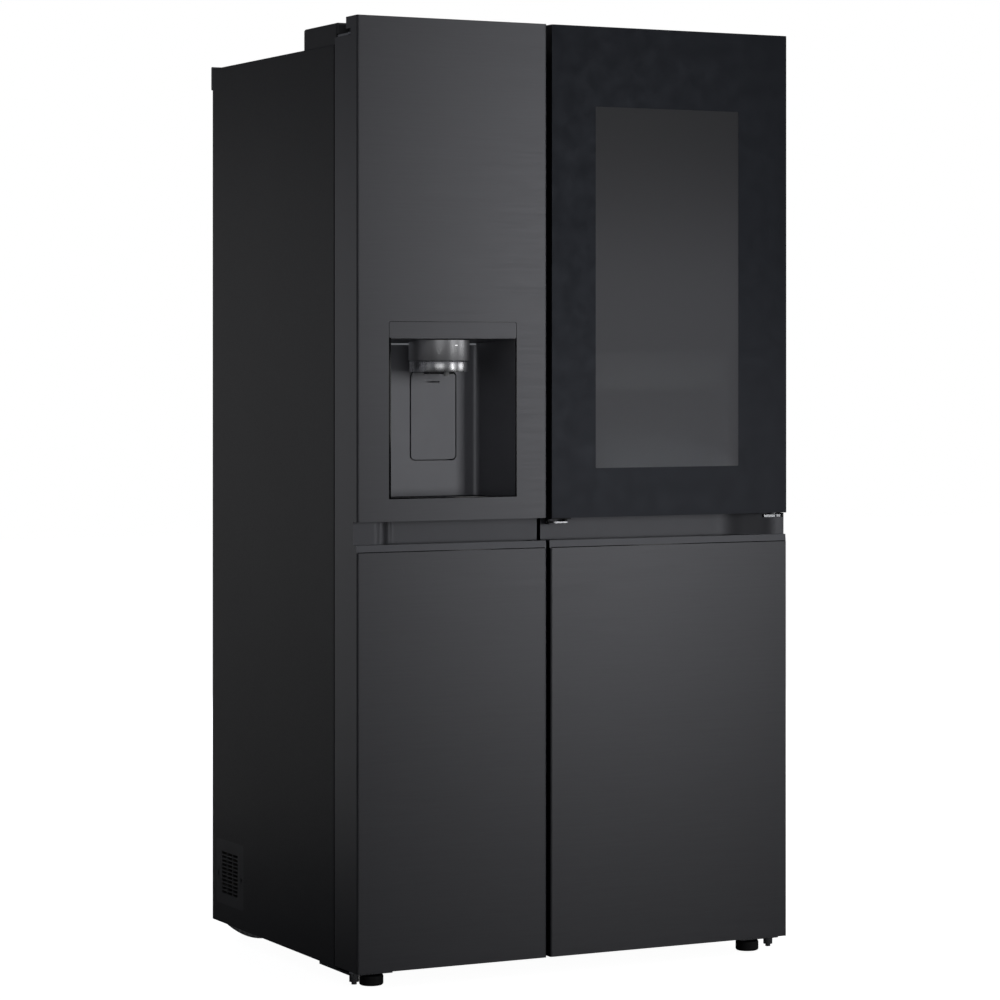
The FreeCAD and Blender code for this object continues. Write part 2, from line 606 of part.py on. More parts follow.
def hinge_notch(side):
    """Space that the top hinge arm sweeps in a door's upper outer corner."""
    notch = box((-SIDE - 1, -NOTCH_INNER), (NOTCH_FRONT, -250), (NOTCH_FLOOR, HEIGHT + 1))
    slot = box((-SIDE - 1, -NOTCH_INNER), (SLOT_FRONT, NOTCH_FRONT + 1), (NOTCH_FLOOR, SLOT_TOP))
    return on_side(notch.fuse(slot), side)


def bush_space(side):
    """Holes in a door's filling for the bush sleeves of its caps."""
    holes = post(-HINGE_X, HINGE_Y, (1718, NOTCH_FLOOR + 1), BUSH_R)
    holes = holes.fuse(post(-HINGE_X, HINGE_Y, (DOOR_BOTTOM - 1, 66), BUSH_R))
    return on_side(holes, side)


def fitted_caps(top, bottom, side):
    """Add the hinge bush sleeves to a door's top and bottom caps and bore them for the pins."""
    top = top.fuse(on_side(post(-HINGE_X, HINGE_Y, (1718, CAP_TOP_Z + 1), BUSH_R), side))
    top = top.cut(on_side(post(-HINGE_X, HINGE_Y, (1721, NOTCH_FLOOR + 1), PIN_R + RUNNING), side))
    bottom = bottom.fuse(on_side(post(-HINGE_X, HINGE_Y, (CAP_BOTTOM_Z - 1, 66), BUSH_R), side))
    bottom = bottom.cut(on_side(post(-HINGE_X, HINGE_Y, (DOOR_BOTTOM - 1, 61), PIN_R + RUNNING), side))
    return top.cut(hinge_notch(side)), bottom


def wrap(x, front, z, thick):
    """Sheet wrapped round a door's front and both sides, with softly rounded front edges."""
    depth = (front, DOOR_BACK + 20)
    outer = soft_box(x, depth, z, DOOR_ROUND, "z")
    inner_x = inset(x, thick)
    inner = soft_box(inner_x, (front + thick, DOOR_BACK + 20), (z[0] - 1, z[1] + 1), DOOR_ROUND - thick, "z")
    limit = box((x[0] - 1, x[1] + 1), (front - 1, DOOR_BACK), (z[0] - 1, z[1] + 1))
    return outer.common(limit).cut(inner.common(box(inner_x, (front, DOOR_BACK), (z[0] - 1, z[1] + 1))))


def filling(x, front, z, thick):
    """The space inside a wrapped sheet, up to the door's inner liner."""
    block = soft_box(inset(x, thick), (front + thick, DOOR_BACK + 20), z, DOOR_ROUND - thick, "z")
    return block.common(box((x[0], x[1]), (front, DOOR_BACK - PLASTIC), z))


def grip_channel(left):
    """Recess that forms the handle: deep at the middle of the appliance, shallow at the hinge side."""
    door = FREEZER_DOOR if left else FRIDGE_DOOR
    depth, near, far, near_round, far_round = LEFT_SHALLOW if left else RIGHT_SHALLOW
    hinge_x, latch_x = (door[0] - 1, door[1] + 1) if left else (door[1] + 1, door[0] - 1)
    outline = [(hinge_x, FRONT - 1), (hinge_x, depth), (near, depth), (far, GRIP_BACK),
               (latch_x, GRIP_BACK), (latch_x, FRONT - 1)]
    channel = prism_z(outline, (LIP_TOP, SEAM))
    for x, radius in ((near, near_round), (far, far_round)):
        corner = [edge for edge in edges_along(channel, "z") if abs(edge.BoundBox.XMin - x) < 0.01]
        channel = channel.makeFillet(radius, corner)
    return channel


def lip_space(door):
    """The grip lip stands back from the panel and leans away from it."""
    outline = [(FRONT - 1, BAND_BOTTOM), (FRONT + LIP_SETBACK, BAND_BOTTOM),
               (FRONT + LIP_SETBACK + LIP_LEAN, LIP_TOP), (FRONT - 1, LIP_TOP)]
    return prism_x(outline, (door[0] - 1, door[1] + 1))


def finger_space(left):
    x = (-368.0, -90.0) if left else (-38.0, 335.0)
    return soft_box(x, FINGER_Y, (FINGER_BOTTOM, LIP_TOP + 1), 8, "z")


def handle_insert(left):
    door = FREEZER_DOOR if left else FRIDGE_DOOR
    block = filling(door, FRONT, (INSERT_BOTTOM, SEAM), DOOR_SHEET)
    block = block.common(box(door, (FRONT, INSERT_BACK), (INSERT_BOTTOM, SEAM)))
    return block.cut(grip_channel(left)).cut(lip_space(door)).cut(finger_space(left))


def insert_space(door):
    return box((door[0], door[1]), (FRONT, INSERT_BACK), (INSERT_BOTTOM, SEAM))


def lower_panel(left):
    door = FREEZER_DOOR if left else FRIDGE_DOOR
    sheet = wrap(door, FRONT, (DOOR_BOTTOM, SEAM), DOOR_SHEET)
    front_cut = box(inset(door, DOOR_ROUND), (FRONT - 1, FRONT + 2), (BAND_BOTTOM, SEAM + 1))
    return sheet.cut(grip_channel(left)).cut(lip_space(door)).cut(front_cut)


def door_gasket(x):
    return ring(x, GASKET_Z, (DOOR_BACK, GASKET_BACK), GASKET_WIDTH, 16.0)


def door_bin(x, z, y):
    return open_box(x, y, z, BIN_WALL)


# ---------------------------------------------------------------- freezer door

def dispenser_plan(grow, front):
    """Plan of the dispenser recess: side walls that close in towards the back."""
    back = DISP_BACK + grow
    lean = (DISP_HALF_BACK - DISP_HALF) / (DISP_BACK - FRONT)
    half, back_half = [DISP_HALF + grow + lean * (y - FRONT) for y in (front, back)]
    return [(DISP_X - half, front), (DISP_X + half, front),
            (DISP_X + back_half, back), (DISP_X - back_half, back)]


def dispenser_block(grow, front, z):
    block = prism_z(dispenser_plan(grow, front), z)
    rear = [edge for edge in edges_along(block, "z") if edge.BoundBox.YMin > DISP_BACK - 5]
    return block.makeFillet(DISP_BACK_ROUND + grow, rear)


def paddle_pocket(grow):
    reach = PADDLE_HALF + PADDLE_GAP + grow
    z = inset(PADDLE_Z, -PADDLE_GAP - grow)
    y = (DISP_BACK - 1, PADDLE_POCKET_BACK + grow)
    return soft_box((PADDLE_X - reach, PADDLE_X + reach), y, z, 10 + grow, "y")


def chute_block(grow, ends):
    """Ice chute in the side view, from its mouth on top of the door's inner bulge down to the head."""
    low, high = 1199.0 - ends, BULGE_Z[1] + ends
    outline = [(-262 - grow, high), (-222 + grow, high), (-222 + grow, 1290), (-285 + grow, 1205),
               (-285 + grow, low), (-325 - grow, low), (-325 - grow, 1215), (-262 - grow, 1306)]
    return prism_x(outline, (DISP_X - CHUTE_HALF - grow, DISP_X + CHUTE_HALF + grow))


DISP_TOP_X = (DISP_X - DISP_HALF - DISP_WALL, DISP_X + DISP_HALF + DISP_WALL)
DISP_TOP_BACK = -268.0


def dispenser_space():
    """Everything the dispenser and its chute take out of the door's filling."""
    space = dispenser_block(DISP_WALL, FRONT - 1, (DISP_Z[0] - 5, 1195))
    space = space.fuse(box(DISP_TOP_X, (FRONT - 1, DISP_TOP_BACK), (1194, DISP_Z[1] + 1.5)))
    reach = CHUTE_HALF + DISP_WALL + CHUTE_WELL_GAP
    well = box((DISP_X - reach, DISP_X + reach), (-328 - CHUTE_WELL_GAP, BULGE_BACK), (1194, BULGE_Z[1]))
    return space.fuse(paddle_pocket(DISP_WALL)).fuse(well)


def dispenser_housing():
    """Moulded recess with its pocket for the paddle, the shelf above it and the ice chute."""
    housing = dispenser_block(DISP_WALL, FRONT + DOOR_SHEET, (DISP_Z[0] - 5, 1195))
    housing = housing.fuse(paddle_pocket(DISP_WALL))
    housing = housing.cut(dispenser_block(0, FRONT - 1, (DISP_Z[0] - 2, DISP_CEILING)))
    housing = housing.cut(paddle_pocket(0))
    y, z = PADDLE_PIVOT
    reach = PADDLE_HALF + 5
    housing = housing.cut(rod((PADDLE_X - reach, y, z), (PADDLE_X + reach, y, z), 2 + RUNNING))
    shelf = box(DISP_TOP_X, (FRONT + 3, DISP_TOP_BACK), (1195, 1199))
    backing = box(DISP_TOP_X, (FRONT + 3, FRONT + 8), (1195, DISP_Z[1] + 1.5))
    housing = housing.fuse(shelf).fuse(backing).fuse(chute_block(DISP_WALL, 0))
    rise = prism_x([(FRONT - 1, DISP_CEILING - 1), (FRONT - 1, DISP_CEILING_FRONT),
                    (DISP_TOP_BACK, DISP_CEILING), (DISP_TOP_BACK, DISP_CEILING - 1)], (-SIDE, 0))
    housing = housing.cut(rise.common(dispenser_block(0, FRONT - 1, (DISP_CEILING - 2, 1199))))
    housing = housing.cut(post(HEAD_X, HEAD_Y, (DISP_CEILING - 1, HEAD_TOP), HEAD_R))
    housing = housing.cut(post(HEAD_X, HEAD_Y, (DISP_CEILING - 1, HEAD_TOP + 1), HEAD_R - 6))
    save("dispenser_housing", housing.cut(chute_block(0, 5)))


def dispenser_fittings():
    strip_x = (DISP_X - DISP_HALF, DISP_X + DISP_HALF)
    strip = soft_box(strip_x, (FRONT, FRONT + 3), (STRIP_BOTTOM - 20, DISP_Z[1]), 4, "y")
    strip = strip.cut(box((-SIDE, 0), (FRONT - 1, FRONT + 4), (1100, STRIP_BOTTOM)))
    save("dispenser_control_strip", strip)

    behind = box((DISP_X - 60, DISP_X + 60), (DISP_BACK, DISP_BACK + 10), (1100, 1200))
    head = tube((HEAD_X, HEAD_Y, HEAD_BOTTOM), (HEAD_X, HEAD_Y, HEAD_TOP), HEAD_R, HEAD_R - 6)
    floor = post(HEAD_X, HEAD_Y, (HEAD_BOTTOM, HEAD_BOTTOM + 4), HEAD_R - 5)
    collar = post(HEAD_X, HEAD_Y, (1146, HEAD_BOTTOM + 1), RING_R - 8)
    outlet = box((DISP_X - 34, DISP_X + 16), (-330, -306), (1131, 1147))
    head = head.multiFuse([floor, collar, outlet]).cut(behind)
    head = head.cut(post(DISP_X, -292, (1120, 1165), 13))
    save("dispenser_head", head.cut(post(NOZZLE[0], NOZZLE[1], (1120, 1165), 5)))

    trim = tube((HEAD_X, HEAD_Y, RING_BOTTOM), (HEAD_X, HEAD_Y, HEAD_BOTTOM), RING_R, RING_R - 8)
    nozzle = tube(NOZZLE + (1127,), NOZZLE + (1160,), 5, 3)
    save("dispenser_spout", trim.cut(behind), nozzle)

    tray = dispenser_block(-0.5, FRONT + DOOR_SHEET, (DISP_Z[0] - 2, DISP_Z[0]))
    drain = slots("z", (890, 910), (DISP_X - 80, DISP_X + 80), (-340, -274), (2, 6), (8, 6))
    save("drip_tray", tray.cut(drain))


def paddle():
    """Push plate that hangs flush in the recess's back wall, with a slit near its top."""
    x = (PADDLE_X - PADDLE_HALF, PADDLE_X + PADDLE_HALF)
    plate = soft_box(x, (DISP_BACK - 0.5, DISP_BACK + 3), PADDLE_Z, 8, "y")
    plate = plate.cut(box((PADDLE_X - SLIT_HALF, PADDLE_X + SLIT_HALF), (DISP_BACK - 5, DISP_BACK + 5), SLIT_Z))
    y, z = PADDLE_PIVOT
    for end in (x[0] + 2, x[1] - 7):
        plate = plate.fuse(box((end, end + 5), (DISP_BACK - 1, y + 3), (z - 3, z + 3)))
    trunnion = rod((x[0] - 4, y, z), (x[1] + 4, y, z), 2)
    save("dispenser_paddle", plate.fuse(trunnion))


def chute_flap():
    """Flap that closes the ice chute inside the head."""
    flap = box((DISP_X - 25, DISP_X + 25), (-323, -288), (1191, 1193.5))
    save("ice_chute_flap", flap.fuse(rod((DISP_X - 25, -288, 1192), (DISP_X + 25, -288, 1192), 2)))


def freezer_door():
    upper = wrap(FREEZER_DOOR, FRONT, (SEAM, HEIGHT), DOOR_SHEET)
    opening_x = (DISP_X - DISP_HALF, DISP_X + DISP_HALF)
    opening = soft_box(opening_x, (FRONT - 1, FRONT + 3), (DISP_Z[0] - 20, DISP_Z[1]), 4, "y")
    opening = opening.cut(box((-500, 0), (FRONT - 2, FRONT + 4), (800, DISP_Z[0])))
    save("freezer_upper_panel", upper.cut(opening).cut(hinge_notch(-1)))
    save("freezer_lower_panel", lower_panel(True))
    save("freezer_handle", handle_insert(True))

    core = filling(FREEZER_DOOR, FRONT, (CAP_BOTTOM_Z, CAP_TOP_Z), DOOR_SHEET)
    core = core.cut(insert_space(FREEZER_DOOR)).cut(bush_space(-1))
    bulge = box(inset(BULGE_X, 2.5), (DOOR_BACK - PLASTIC - 1, BULGE_BACK - 2.5), inset(BULGE_Z, 2.5))
    save("freezer_door_core", core.fuse(bulge).cut(dispenser_space()))

    inside = inset(FREEZER_DOOR, DOOR_SHEET)
    sheet = box(inside, (DOOR_BACK - PLASTIC, DOOR_BACK), (CAP_BOTTOM_Z, CAP_TOP_Z))
    sheet = sheet.fuse(box(BULGE_X, (DOOR_BACK - PLASTIC, BULGE_BACK), BULGE_Z))
    sheet = sheet.cut(box(inset(BULGE_X, 2.5), (DOOR_BACK - 5, BULGE_BACK - 2.5), inset(BULGE_Z, 2.5)))
    sheet = sheet.fuse(ring((-392, -108), DYKE_Z, (DOOR_BACK - 0.5, DYKE_BACK), DYKE_WIDTH, 12))
    save("freezer_door_liner", sheet.cut(chute_block(DISP_WALL, 0)).cut(paddle_pocket(DISP_WALL)))
    save("freezer_door_gasket", door_gasket((-440.0, -74.0)))

    top = filling(FREEZER_DOOR, FRONT, (CAP_TOP_Z, HEIGHT), DOOR_SHEET)
    top = top.fuse(box(inside, (DOOR_BACK - PLASTIC - 1, DOOR_BACK), (CAP_TOP_Z, HEIGHT)))
    bottom = filling(FREEZER_DOOR, FRONT, (DOOR_BOTTOM, CAP_BOTTOM_Z), DOOR_SHEET)
    bottom = bottom.fuse(box(inside, (DOOR_BACK - PLASTIC - 1, DOOR_BACK), (DOOR_BOTTOM, CAP_BOTTOM_Z)))
    save("freezer_door_caps", *fitted_caps(top, bottom, -1))
    save("freezer_door_bins", *[door_bin((-377, -123), z, (DOOR_BACK, -182)) for z in FREEZER_BINS])


# ---------------------------------------------------------------- refrigerator door

def ear_block(grow):
    """Corner block in the top cap that holds the door's upper bush ahead of the inner frame."""
    return box((EAR_X - grow, SIDE - DOOR_SHEET), (EAR_FRONT, -304), (EAR_BOTTOM, HEIGHT))


def outer_door_space():
    """Room for the outer door's lower edge, taken out of the band under it."""
    return box((FRIDGE_DOOR[0] - 1, SIDE + 1), (FRONT - 1, OUTER_SWEEP_BACK), (OUTER_Z[0] - 1.2, SEAM + 1))


def fridge_door():
    insert = handle_insert(False).cut(outer_door_space())
    save("fridge_handle", insert.cut(box((412, SIDE + 1), (FRONT, GRIP_BACK), (850, SEAM + 1))))

    frame = wrap(FRIDGE_DOOR, FRAME_FRONT, (SEAM, HEIGHT), DOOR_SHEET)
    face_opening = soft_box((-46, 442), (FRAME_FRONT - 1, FRAME_FRONT + 3), (880, 1770), 12, "y")
    frame = frame.cut(face_opening).cut(ear_block(0)).cut(hinge_notch(1))
    save("fridge_door_panel", lower_panel(False).cut(outer_door_space()).fuse(frame))

    inside = inset(FRIDGE_DOOR, DOOR_SHEET)
    flange_y = (FRAME_FRONT + DOOR_SHEET, FRAME_FRONT + DOOR_SHEET + 2.5)
    pocket = box(inset(FRIDGE_DOOR, 3.6), flange_y, (SEAM, HEIGHT - 2))
    outer_x, outer_z = inset(POCKET_X, -POCKET_WALL), inset(POCKET_Z, -POCKET_WALL)
    pocket = pocket.fuse(soft_box(outer_x, (flange_y[0], POCKET_BACK), outer_z, 13, "y"))
    hollow = soft_box(POCKET_X, (flange_y[0] - 1, POCKET_BACK - POCKET_WALL), POCKET_Z, 10, "y")
    save("inner_door_pocket", pocket.cut(hollow).cut(ear_block(0.2)))

    core = filling(FRIDGE_DOOR, FRONT, (CAP_BOTTOM_Z, SEAM), DOOR_SHEET).cut(insert_space(FRIDGE_DOOR))
    upper = box(inset(FRIDGE_DOOR, 3.0), (flange_y[1], DOOR_BACK - PLASTIC), (SEAM, CAP_TOP_Z))
    core = core.fuse(upper)
    core = core.cut(soft_box(outer_x, (FRAME_FRONT - 1, DOOR_BACK), outer_z, 13, "y"))
    save("fridge_door_core", core.cut(bush_space(1)).cut(ear_block(0)))

    sheet = box(inside, (DOOR_BACK - PLASTIC, DOOR_BACK), (CAP_BOTTOM_Z, CAP_TOP_Z))
    sheet = sheet.fuse(ring((-14, 392), DYKE_Z, (DOOR_BACK - 0.5, DYKE_BACK), DYKE_WIDTH, 12))
    sheet = sheet.cut(soft_box(outer_x, (FRAME_FRONT, DYKE_BACK + 1), outer_z, 13, "y"))
    save("fridge_door_liner", sheet)
    save("fridge_door_gasket", door_gasket((-54.0, 440.0)))

    top = box(inset(FRIDGE_DOOR, 3.0), (flange_y[1], DOOR_BACK), (CAP_TOP_Z, HEIGHT))
    top = top.fuse(ear_block(0)).cut(post(OUTER_HINGE[0], OUTER_HINGE[1], (1700, 1745), OUTER_PIN_R))
    bottom = filling(FRIDGE_DOOR, FRONT, (DOOR_BOTTOM, CAP_BOTTOM_Z), DOOR_SHEET)
    bottom = bottom.fuse(box(inside, (DOOR_BACK - PLASTIC - 1, DOOR_BACK), (DOOR_BOTTOM, CAP_BOTTOM_Z)))
    save("fridge_door_caps", *fitted_caps(top, bottom, 1))
    bins = [door_bin((1, 377), z, (DOOR_BACK, -182)) for z in FRIDGE_BINS]
    bins += [door_bin((52, 348), z, (-309, POCKET_BACK - 6)) for z in POCKET_BINS]
    save("fridge_door_bins", *bins)

    x, y = OUTER_HINGE
    upper_pin = post(x, y, (1690, 1745), OUTER_PIN_R)
    plate = box((416, 455), (-350, GRIP_BACK), (850, 855)).cut(box((440, 444), (-351, -345), (849, 856)))
    lower_pin = post(x, y, (854, 884), OUTER_PIN_R)
    save("outer_door_pivots", upper_pin, plate.fuse(lower_pin))


def outer_door():
    glass = soft_box(OUTER_DOOR, (FRONT, GLASS_BACK), OUTER_Z, 1.5, "z")
    inner_pane = soft_box(inset(WINDOW_X, 0.2), (-330, -326), inset(WINDOW_Z, 0.2), 6.0, "y")
    save("outer_door_glass", glass, inner_pane)

    frame = soft_box(OUTER_DOOR, (GLASS_BACK - 10, OUTER_BACK), OUTER_Z, 6.0, "z")
    frame = frame.common(box(OUTER_DOOR, (GLASS_BACK, OUTER_BACK), OUTER_Z))
    frame = frame.cut(soft_box(WINDOW_X, (FRONT, OUTER_BACK + 1), WINDOW_Z, 6.0, "y"))
    notch_x, notch_y, notch_z = OUTER_NOTCH
    frame = frame.cut(box((notch_x, SIDE + 1), (notch_y, OUTER_BACK + 1), (notch_z, HEIGHT + 1)))
    x, y = OUTER_HINGE
    for z in ((OUTER_Z[0] - 1, 886), (1688, notch_z + 1)):
        frame = frame.cut(post(x, y, z, OUTER_PIN_R + RUNNING))
    y, z = LEVER_PIVOT
    housing_x = inset(LEVER_X, -5)
    housing = box(housing_x, (-356, -328), (856, OUTER_Z[0] + 1))
    for start in (housing_x[0], housing_x[1] - 4):
        housing = housing.fuse(box((start, start + 4), (-340, -328), (846, 857)))
    housing = housing.cut(rod((housing_x[0] - 1, y, z), (housing_x[1] + 1, y, z), 1.5 + RUNNING))
    save("outer_door_frame", frame.fuse(housing))
    save("outer_door_gasket", ring((20, 380), (900, 1690), (OUTER_BACK, FRAME_FRONT - 0.3), 12, 14))

    lever = soft_box(LEVER_X, (-354, -331), (z - 1.5, z + 1.5), 3, "z")
    save("release_lever", lever.fuse(rod((housing_x[0], y, z), (housing_x[1], y, z), 1.5)))


def build():
    os.makedirs("parts", exist_ok=True)
    cabinet_shell()
    foam_insulation()
    liner("freezer_liner", FREEZER, (-SIDE + HEM, MULLION[0]), FREEZER_SHELVES, 236)
    liner("fridge_liner", FRIDGE, (MULLION[1], SIDE - HEM), FRIDGE_SHELVES, 270)
    rear_parts()
    machine_base_plate()
    rollers()
    compressor()
    condenser_group()
    cold_air_parts()
    shelves()
    drawers()
    ice_bucket()
    ice_auger()
    ice_maker()
    hinges_and_feet()
    freezer_door()
    dispenser_housing()
    dispenser_fittings()
    paddle()
    chute_flap()
    fridge_door()
    outer_door()


build()
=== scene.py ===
import json
import math

import bmesh
import bpy
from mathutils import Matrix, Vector


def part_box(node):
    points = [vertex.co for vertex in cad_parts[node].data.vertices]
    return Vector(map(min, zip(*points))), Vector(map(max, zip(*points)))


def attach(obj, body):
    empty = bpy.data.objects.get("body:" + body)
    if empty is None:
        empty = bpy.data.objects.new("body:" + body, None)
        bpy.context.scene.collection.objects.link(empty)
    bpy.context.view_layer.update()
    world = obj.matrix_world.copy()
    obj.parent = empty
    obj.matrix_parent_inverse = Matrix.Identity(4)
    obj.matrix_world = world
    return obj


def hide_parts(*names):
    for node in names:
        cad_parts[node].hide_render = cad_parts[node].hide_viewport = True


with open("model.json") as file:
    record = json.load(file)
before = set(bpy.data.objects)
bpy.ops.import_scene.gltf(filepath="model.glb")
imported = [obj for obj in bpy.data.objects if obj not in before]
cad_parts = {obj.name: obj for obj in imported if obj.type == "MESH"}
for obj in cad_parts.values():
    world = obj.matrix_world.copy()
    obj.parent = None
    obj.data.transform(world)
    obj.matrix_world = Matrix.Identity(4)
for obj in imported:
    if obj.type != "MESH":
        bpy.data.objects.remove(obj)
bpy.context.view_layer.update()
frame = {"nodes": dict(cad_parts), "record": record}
nodes = frame["nodes"]

MM = 0.001
STUDIO_DIM = 0.068                       # strength of the world as a light

# Dispenser and outer door, in millimetres; plans are (x, y), spans run from low to high.
DISPENSER_BACK = -255.0                  # back wall of the recess
CEILING_EDGE_Z = (1185.6, 1188.6)        # light edge behind the recess's ceiling
HEAD_CENTRE, HEAD_RADIUS = (-262.0, -304.0), 57.0
HEAD_BOTTOM, HEAD_TOP = 1156.0, 1194.5
RING_HEIGHT = 21.0                       # bright ring hanging below the head
NOZZLE, NOZZLE_Z = (-259.0, -330.0), (1127.0, 1158.0)
STRIP_THICKNESS, STRIP_GAP = 2.2, 0.9
WINDOW_X, WINDOW_Z = (36.0, 348.0), (952.0, 1638.0)
INNER_PANE_X, INNER_PANE_Y, INNER_PANE_Z = (35.0, 359.0), (-330.0, -326.0), (931.0, 1659.0)
DOOR_GLASS_THICKNESS = 4.0
POCKET_FLOOR = 925.0
POCKET_LAMP_X, POCKET_LAMP_Y = (62.0, 338.0), (-306.0, -299.0)
BAND_BOTTOM = 803.0                      # top edge of the lower door panels

# Brightness of the lit parts; the ceiling edge's faint glow is a painted highlight, not a lamp.
CEILING_EDGE_HIGHLIGHT_GLOW, PRINT_GLOW, INDICATOR_GLOW = 0.11, 0.13, 1.1
POCKET_LAMP_GLOW, CEILING_LAMP_GLOW = 40.0, 65.0


# ---------------------------------------------------------------- camera

def make_camera():
    """A long lens at chest height, level, to the left of the appliance."""
    data = bpy.data.cameras.new("camera")
    data.sensor_width = 36.0
    data.lens = 123.7
    data.shift_x = -0.112
    data.shift_y = -0.1431
    data.clip_end = 60.0
    camera = bpy.data.objects.new("camera", data)
    camera.location = (-2.9792, -6.148, 1.163)
    camera.rotation_euler = (math.radians(90.0), 0.0, math.radians(-27.818))
    bpy.context.scene.collection.objects.link(camera)
    bpy.context.scene.camera = camera


# ---------------------------------------------------------------- node helpers

def new_material(name):
    """An empty node material with its Principled shader joined to the output."""
    material = bpy.data.materials.new(name)
    material.use_nodes = True
    tree = material.node_tree
    tree.nodes.clear()
    output = tree.nodes.new("ShaderNodeOutputMaterial")
    shader = tree.nodes.new("ShaderNodeBsdfPrincipled")
    tree.links.new(shader.outputs[0], output.inputs[0])
    return material, tree, shader


def setting(node, **values):
    """Set a node's inputs by name; an underscore in a name stands for a space."""
    for key, value in values.items():
        socket = node.inputs[key.replace("_", " ")]
        if isinstance(value, tuple) and len(value) == 3 and socket.type == "RGBA":
            value = (*value, 1.0)
        socket.default_value = value


def noise(tree, scale, stretch=(1, 1, 1), detail=3.0, rough=0.55):
    """Noise in the object's own metres, stretched along the axes."""
    coordinates = tree.nodes.new("ShaderNodeTexCoord")
    mapping = tree.nodes.new("ShaderNodeMapping")
    mapping.inputs["Scale"].default_value = stretch
    texture = tree.nodes.new("ShaderNodeTexNoise")
    setting(texture, Scale=scale, Detail=detail, Roughness=rough)
    tree.links.new(coordinates.outputs["Object"], mapping.inputs[0])
    tree.links.new(mapping.outputs[0], texture.inputs["Vector"])
    return texture.outputs[0]


def spread(tree, source, low, high):
    """Map noise, which stays near its middle, to a range of values."""
    node = tree.nodes.new("ShaderNodeMapRange")
    setting(node, From_Min=0.3, From_Max=0.7, To_Min=low, To_Max=high)
    tree.links.new(source, node.inputs["Value"])
    return node.outputs[0]


def tone(tree, source, dark, light):
    """Noise turned into a colour between two tones."""
    node = tree.nodes.new("ShaderNodeValToRGB")
    node.color_ramp.elements[0].position = 0.3
    node.color_ramp.elements[1].position = 0.7
    node.color_ramp.elements[0].color = (*dark, 1.0)
    node.color_ramp.elements[1].color = (*light, 1.0)
    tree.links.new(source, node.inputs[0])
    return node.outputs[0]


def relief(tree, shader, source, height, strength=1.0):
    """Bump from a texture; height is in metres."""
    node = tree.nodes.new("ShaderNodeBump")
    setting(node, Strength=strength, Distance=height)
    tree.links.new(source, node.inputs["Height"])
    tree.links.new(node.outputs[0], shader.inputs["Normal"])


def height_ramp(tree, low, high, low_colour, high_colour):
    """Colour that changes smoothly with height between two heights in metres."""
    coordinates = tree.nodes.new("ShaderNodeTexCoord")
    split = tree.nodes.new("ShaderNodeSeparateXYZ")
    tree.links.new(coordinates.outputs["Object"], split.inputs[0])
    height = tree.nodes.new("ShaderNodeMapRange")
    setting(height, From_Min=low, From_Max=high)
    tree.links.new(split.outputs["Z"], height.inputs["Value"])
    ramp = tree.nodes.new("ShaderNodeValToRGB")
    ramp.color_ramp.interpolation = "EASE"
    ramp.color_ramp.elements[0].color = (*low_colour, 1.0)
    ramp.color_ramp.elements[1].color = (*high_colour, 1.0)
    tree.links.new(height.outputs[0], ramp.inputs[0])
    return ramp.outputs[0]


def scaled(colour, factor):
    """A colour made lighter or darker."""
    return tuple(channel * factor for channel in colour)


# ---------------------------------------------------------------- materials

def brushed_metal(name, colour, along="x", rough=0.38, contrast=0.05):
    """Metal with fine brushing lines along one axis; its gloss spreads across them."""
    material, tree, shader = new_material(name)
    setting(shader, Metallic=1.0, Anisotropic=0.45, Anisotropic_Rotation=0.25 if along == "x" else 0.0)
    tangent = tree.nodes.new("ShaderNodeTangent")
    tangent.direction_type = "RADIAL"
    tangent.axis = "Z"
    tree.links.new(tangent.outputs[0], shader.inputs["Tangent"])
    stretch = {"x": (0.02, 1, 1), "y": (1, 0.02, 1), "z": (1, 1, 0.02)}[along]
    fine = noise(tree, 1400.0, stretch, detail=1.0)
    broad = noise(tree, 240.0, stretch, detail=2.0)
    mix = tree.nodes.new("ShaderNodeMix")
    mix.inputs["Factor"].default_value = 0.4
    tree.links.new(fine, mix.inputs["A"])
    tree.links.new(broad, mix.inputs["B"])
    streaks = mix.outputs["Result"]
    tree.links.new(tone(tree, streaks, scaled(colour, 1 - contrast), scaled(colour, 1 + contrast)),
                   shader.inputs["Base Color"])
    tree.links.new(spread(tree, streaks, rough - 0.03, rough + 0.03), shader.inputs["Roughness"])
    relief(tree, shader, fine, 0.00001, 0.2)
    return material


def metallic_plastic(name, colour, rough=0.4, metallic=0.9):
    """Moulded plastic with a fine metallic finish that matches the doors."""
    material, tree, shader = new_material(name)
    setting(shader, Metallic=metallic)
    flake = noise(tree, 1600.0, detail=1.0)
    cloud = noise(tree, 12.0)
    tree.links.new(tone(tree, cloud, scaled(colour, 0.97), scaled(colour, 1.03)),
                   shader.inputs["Base Color"])
    tree.links.new(spread(tree, flake, rough - 0.03, rough + 0.04), shader.inputs["Roughness"])
    relief(tree, shader, flake, 0.00001, 0.3)
    return material


def painted_steel(name, colour, rough=0.42, specular=0.5):
    """Baked paint with a fine orange-peel skin."""
    material, tree, shader = new_material(name)
    setting(shader, Specular_IOR_Level=specular)
    peel = noise(tree, 420.0, detail=2.0)
    cloud = noise(tree, 3.0, detail=3.0)
    tree.links.new(tone(tree, cloud, scaled(colour, 0.93), scaled(colour, 1.07)),
                   shader.inputs["Base Color"])
    tree.links.new(spread(tree, peel, rough - 0.04, rough + 0.05), shader.inputs["Roughness"])
    relief(tree, shader, peel, 0.00006, 0.5)
    return material


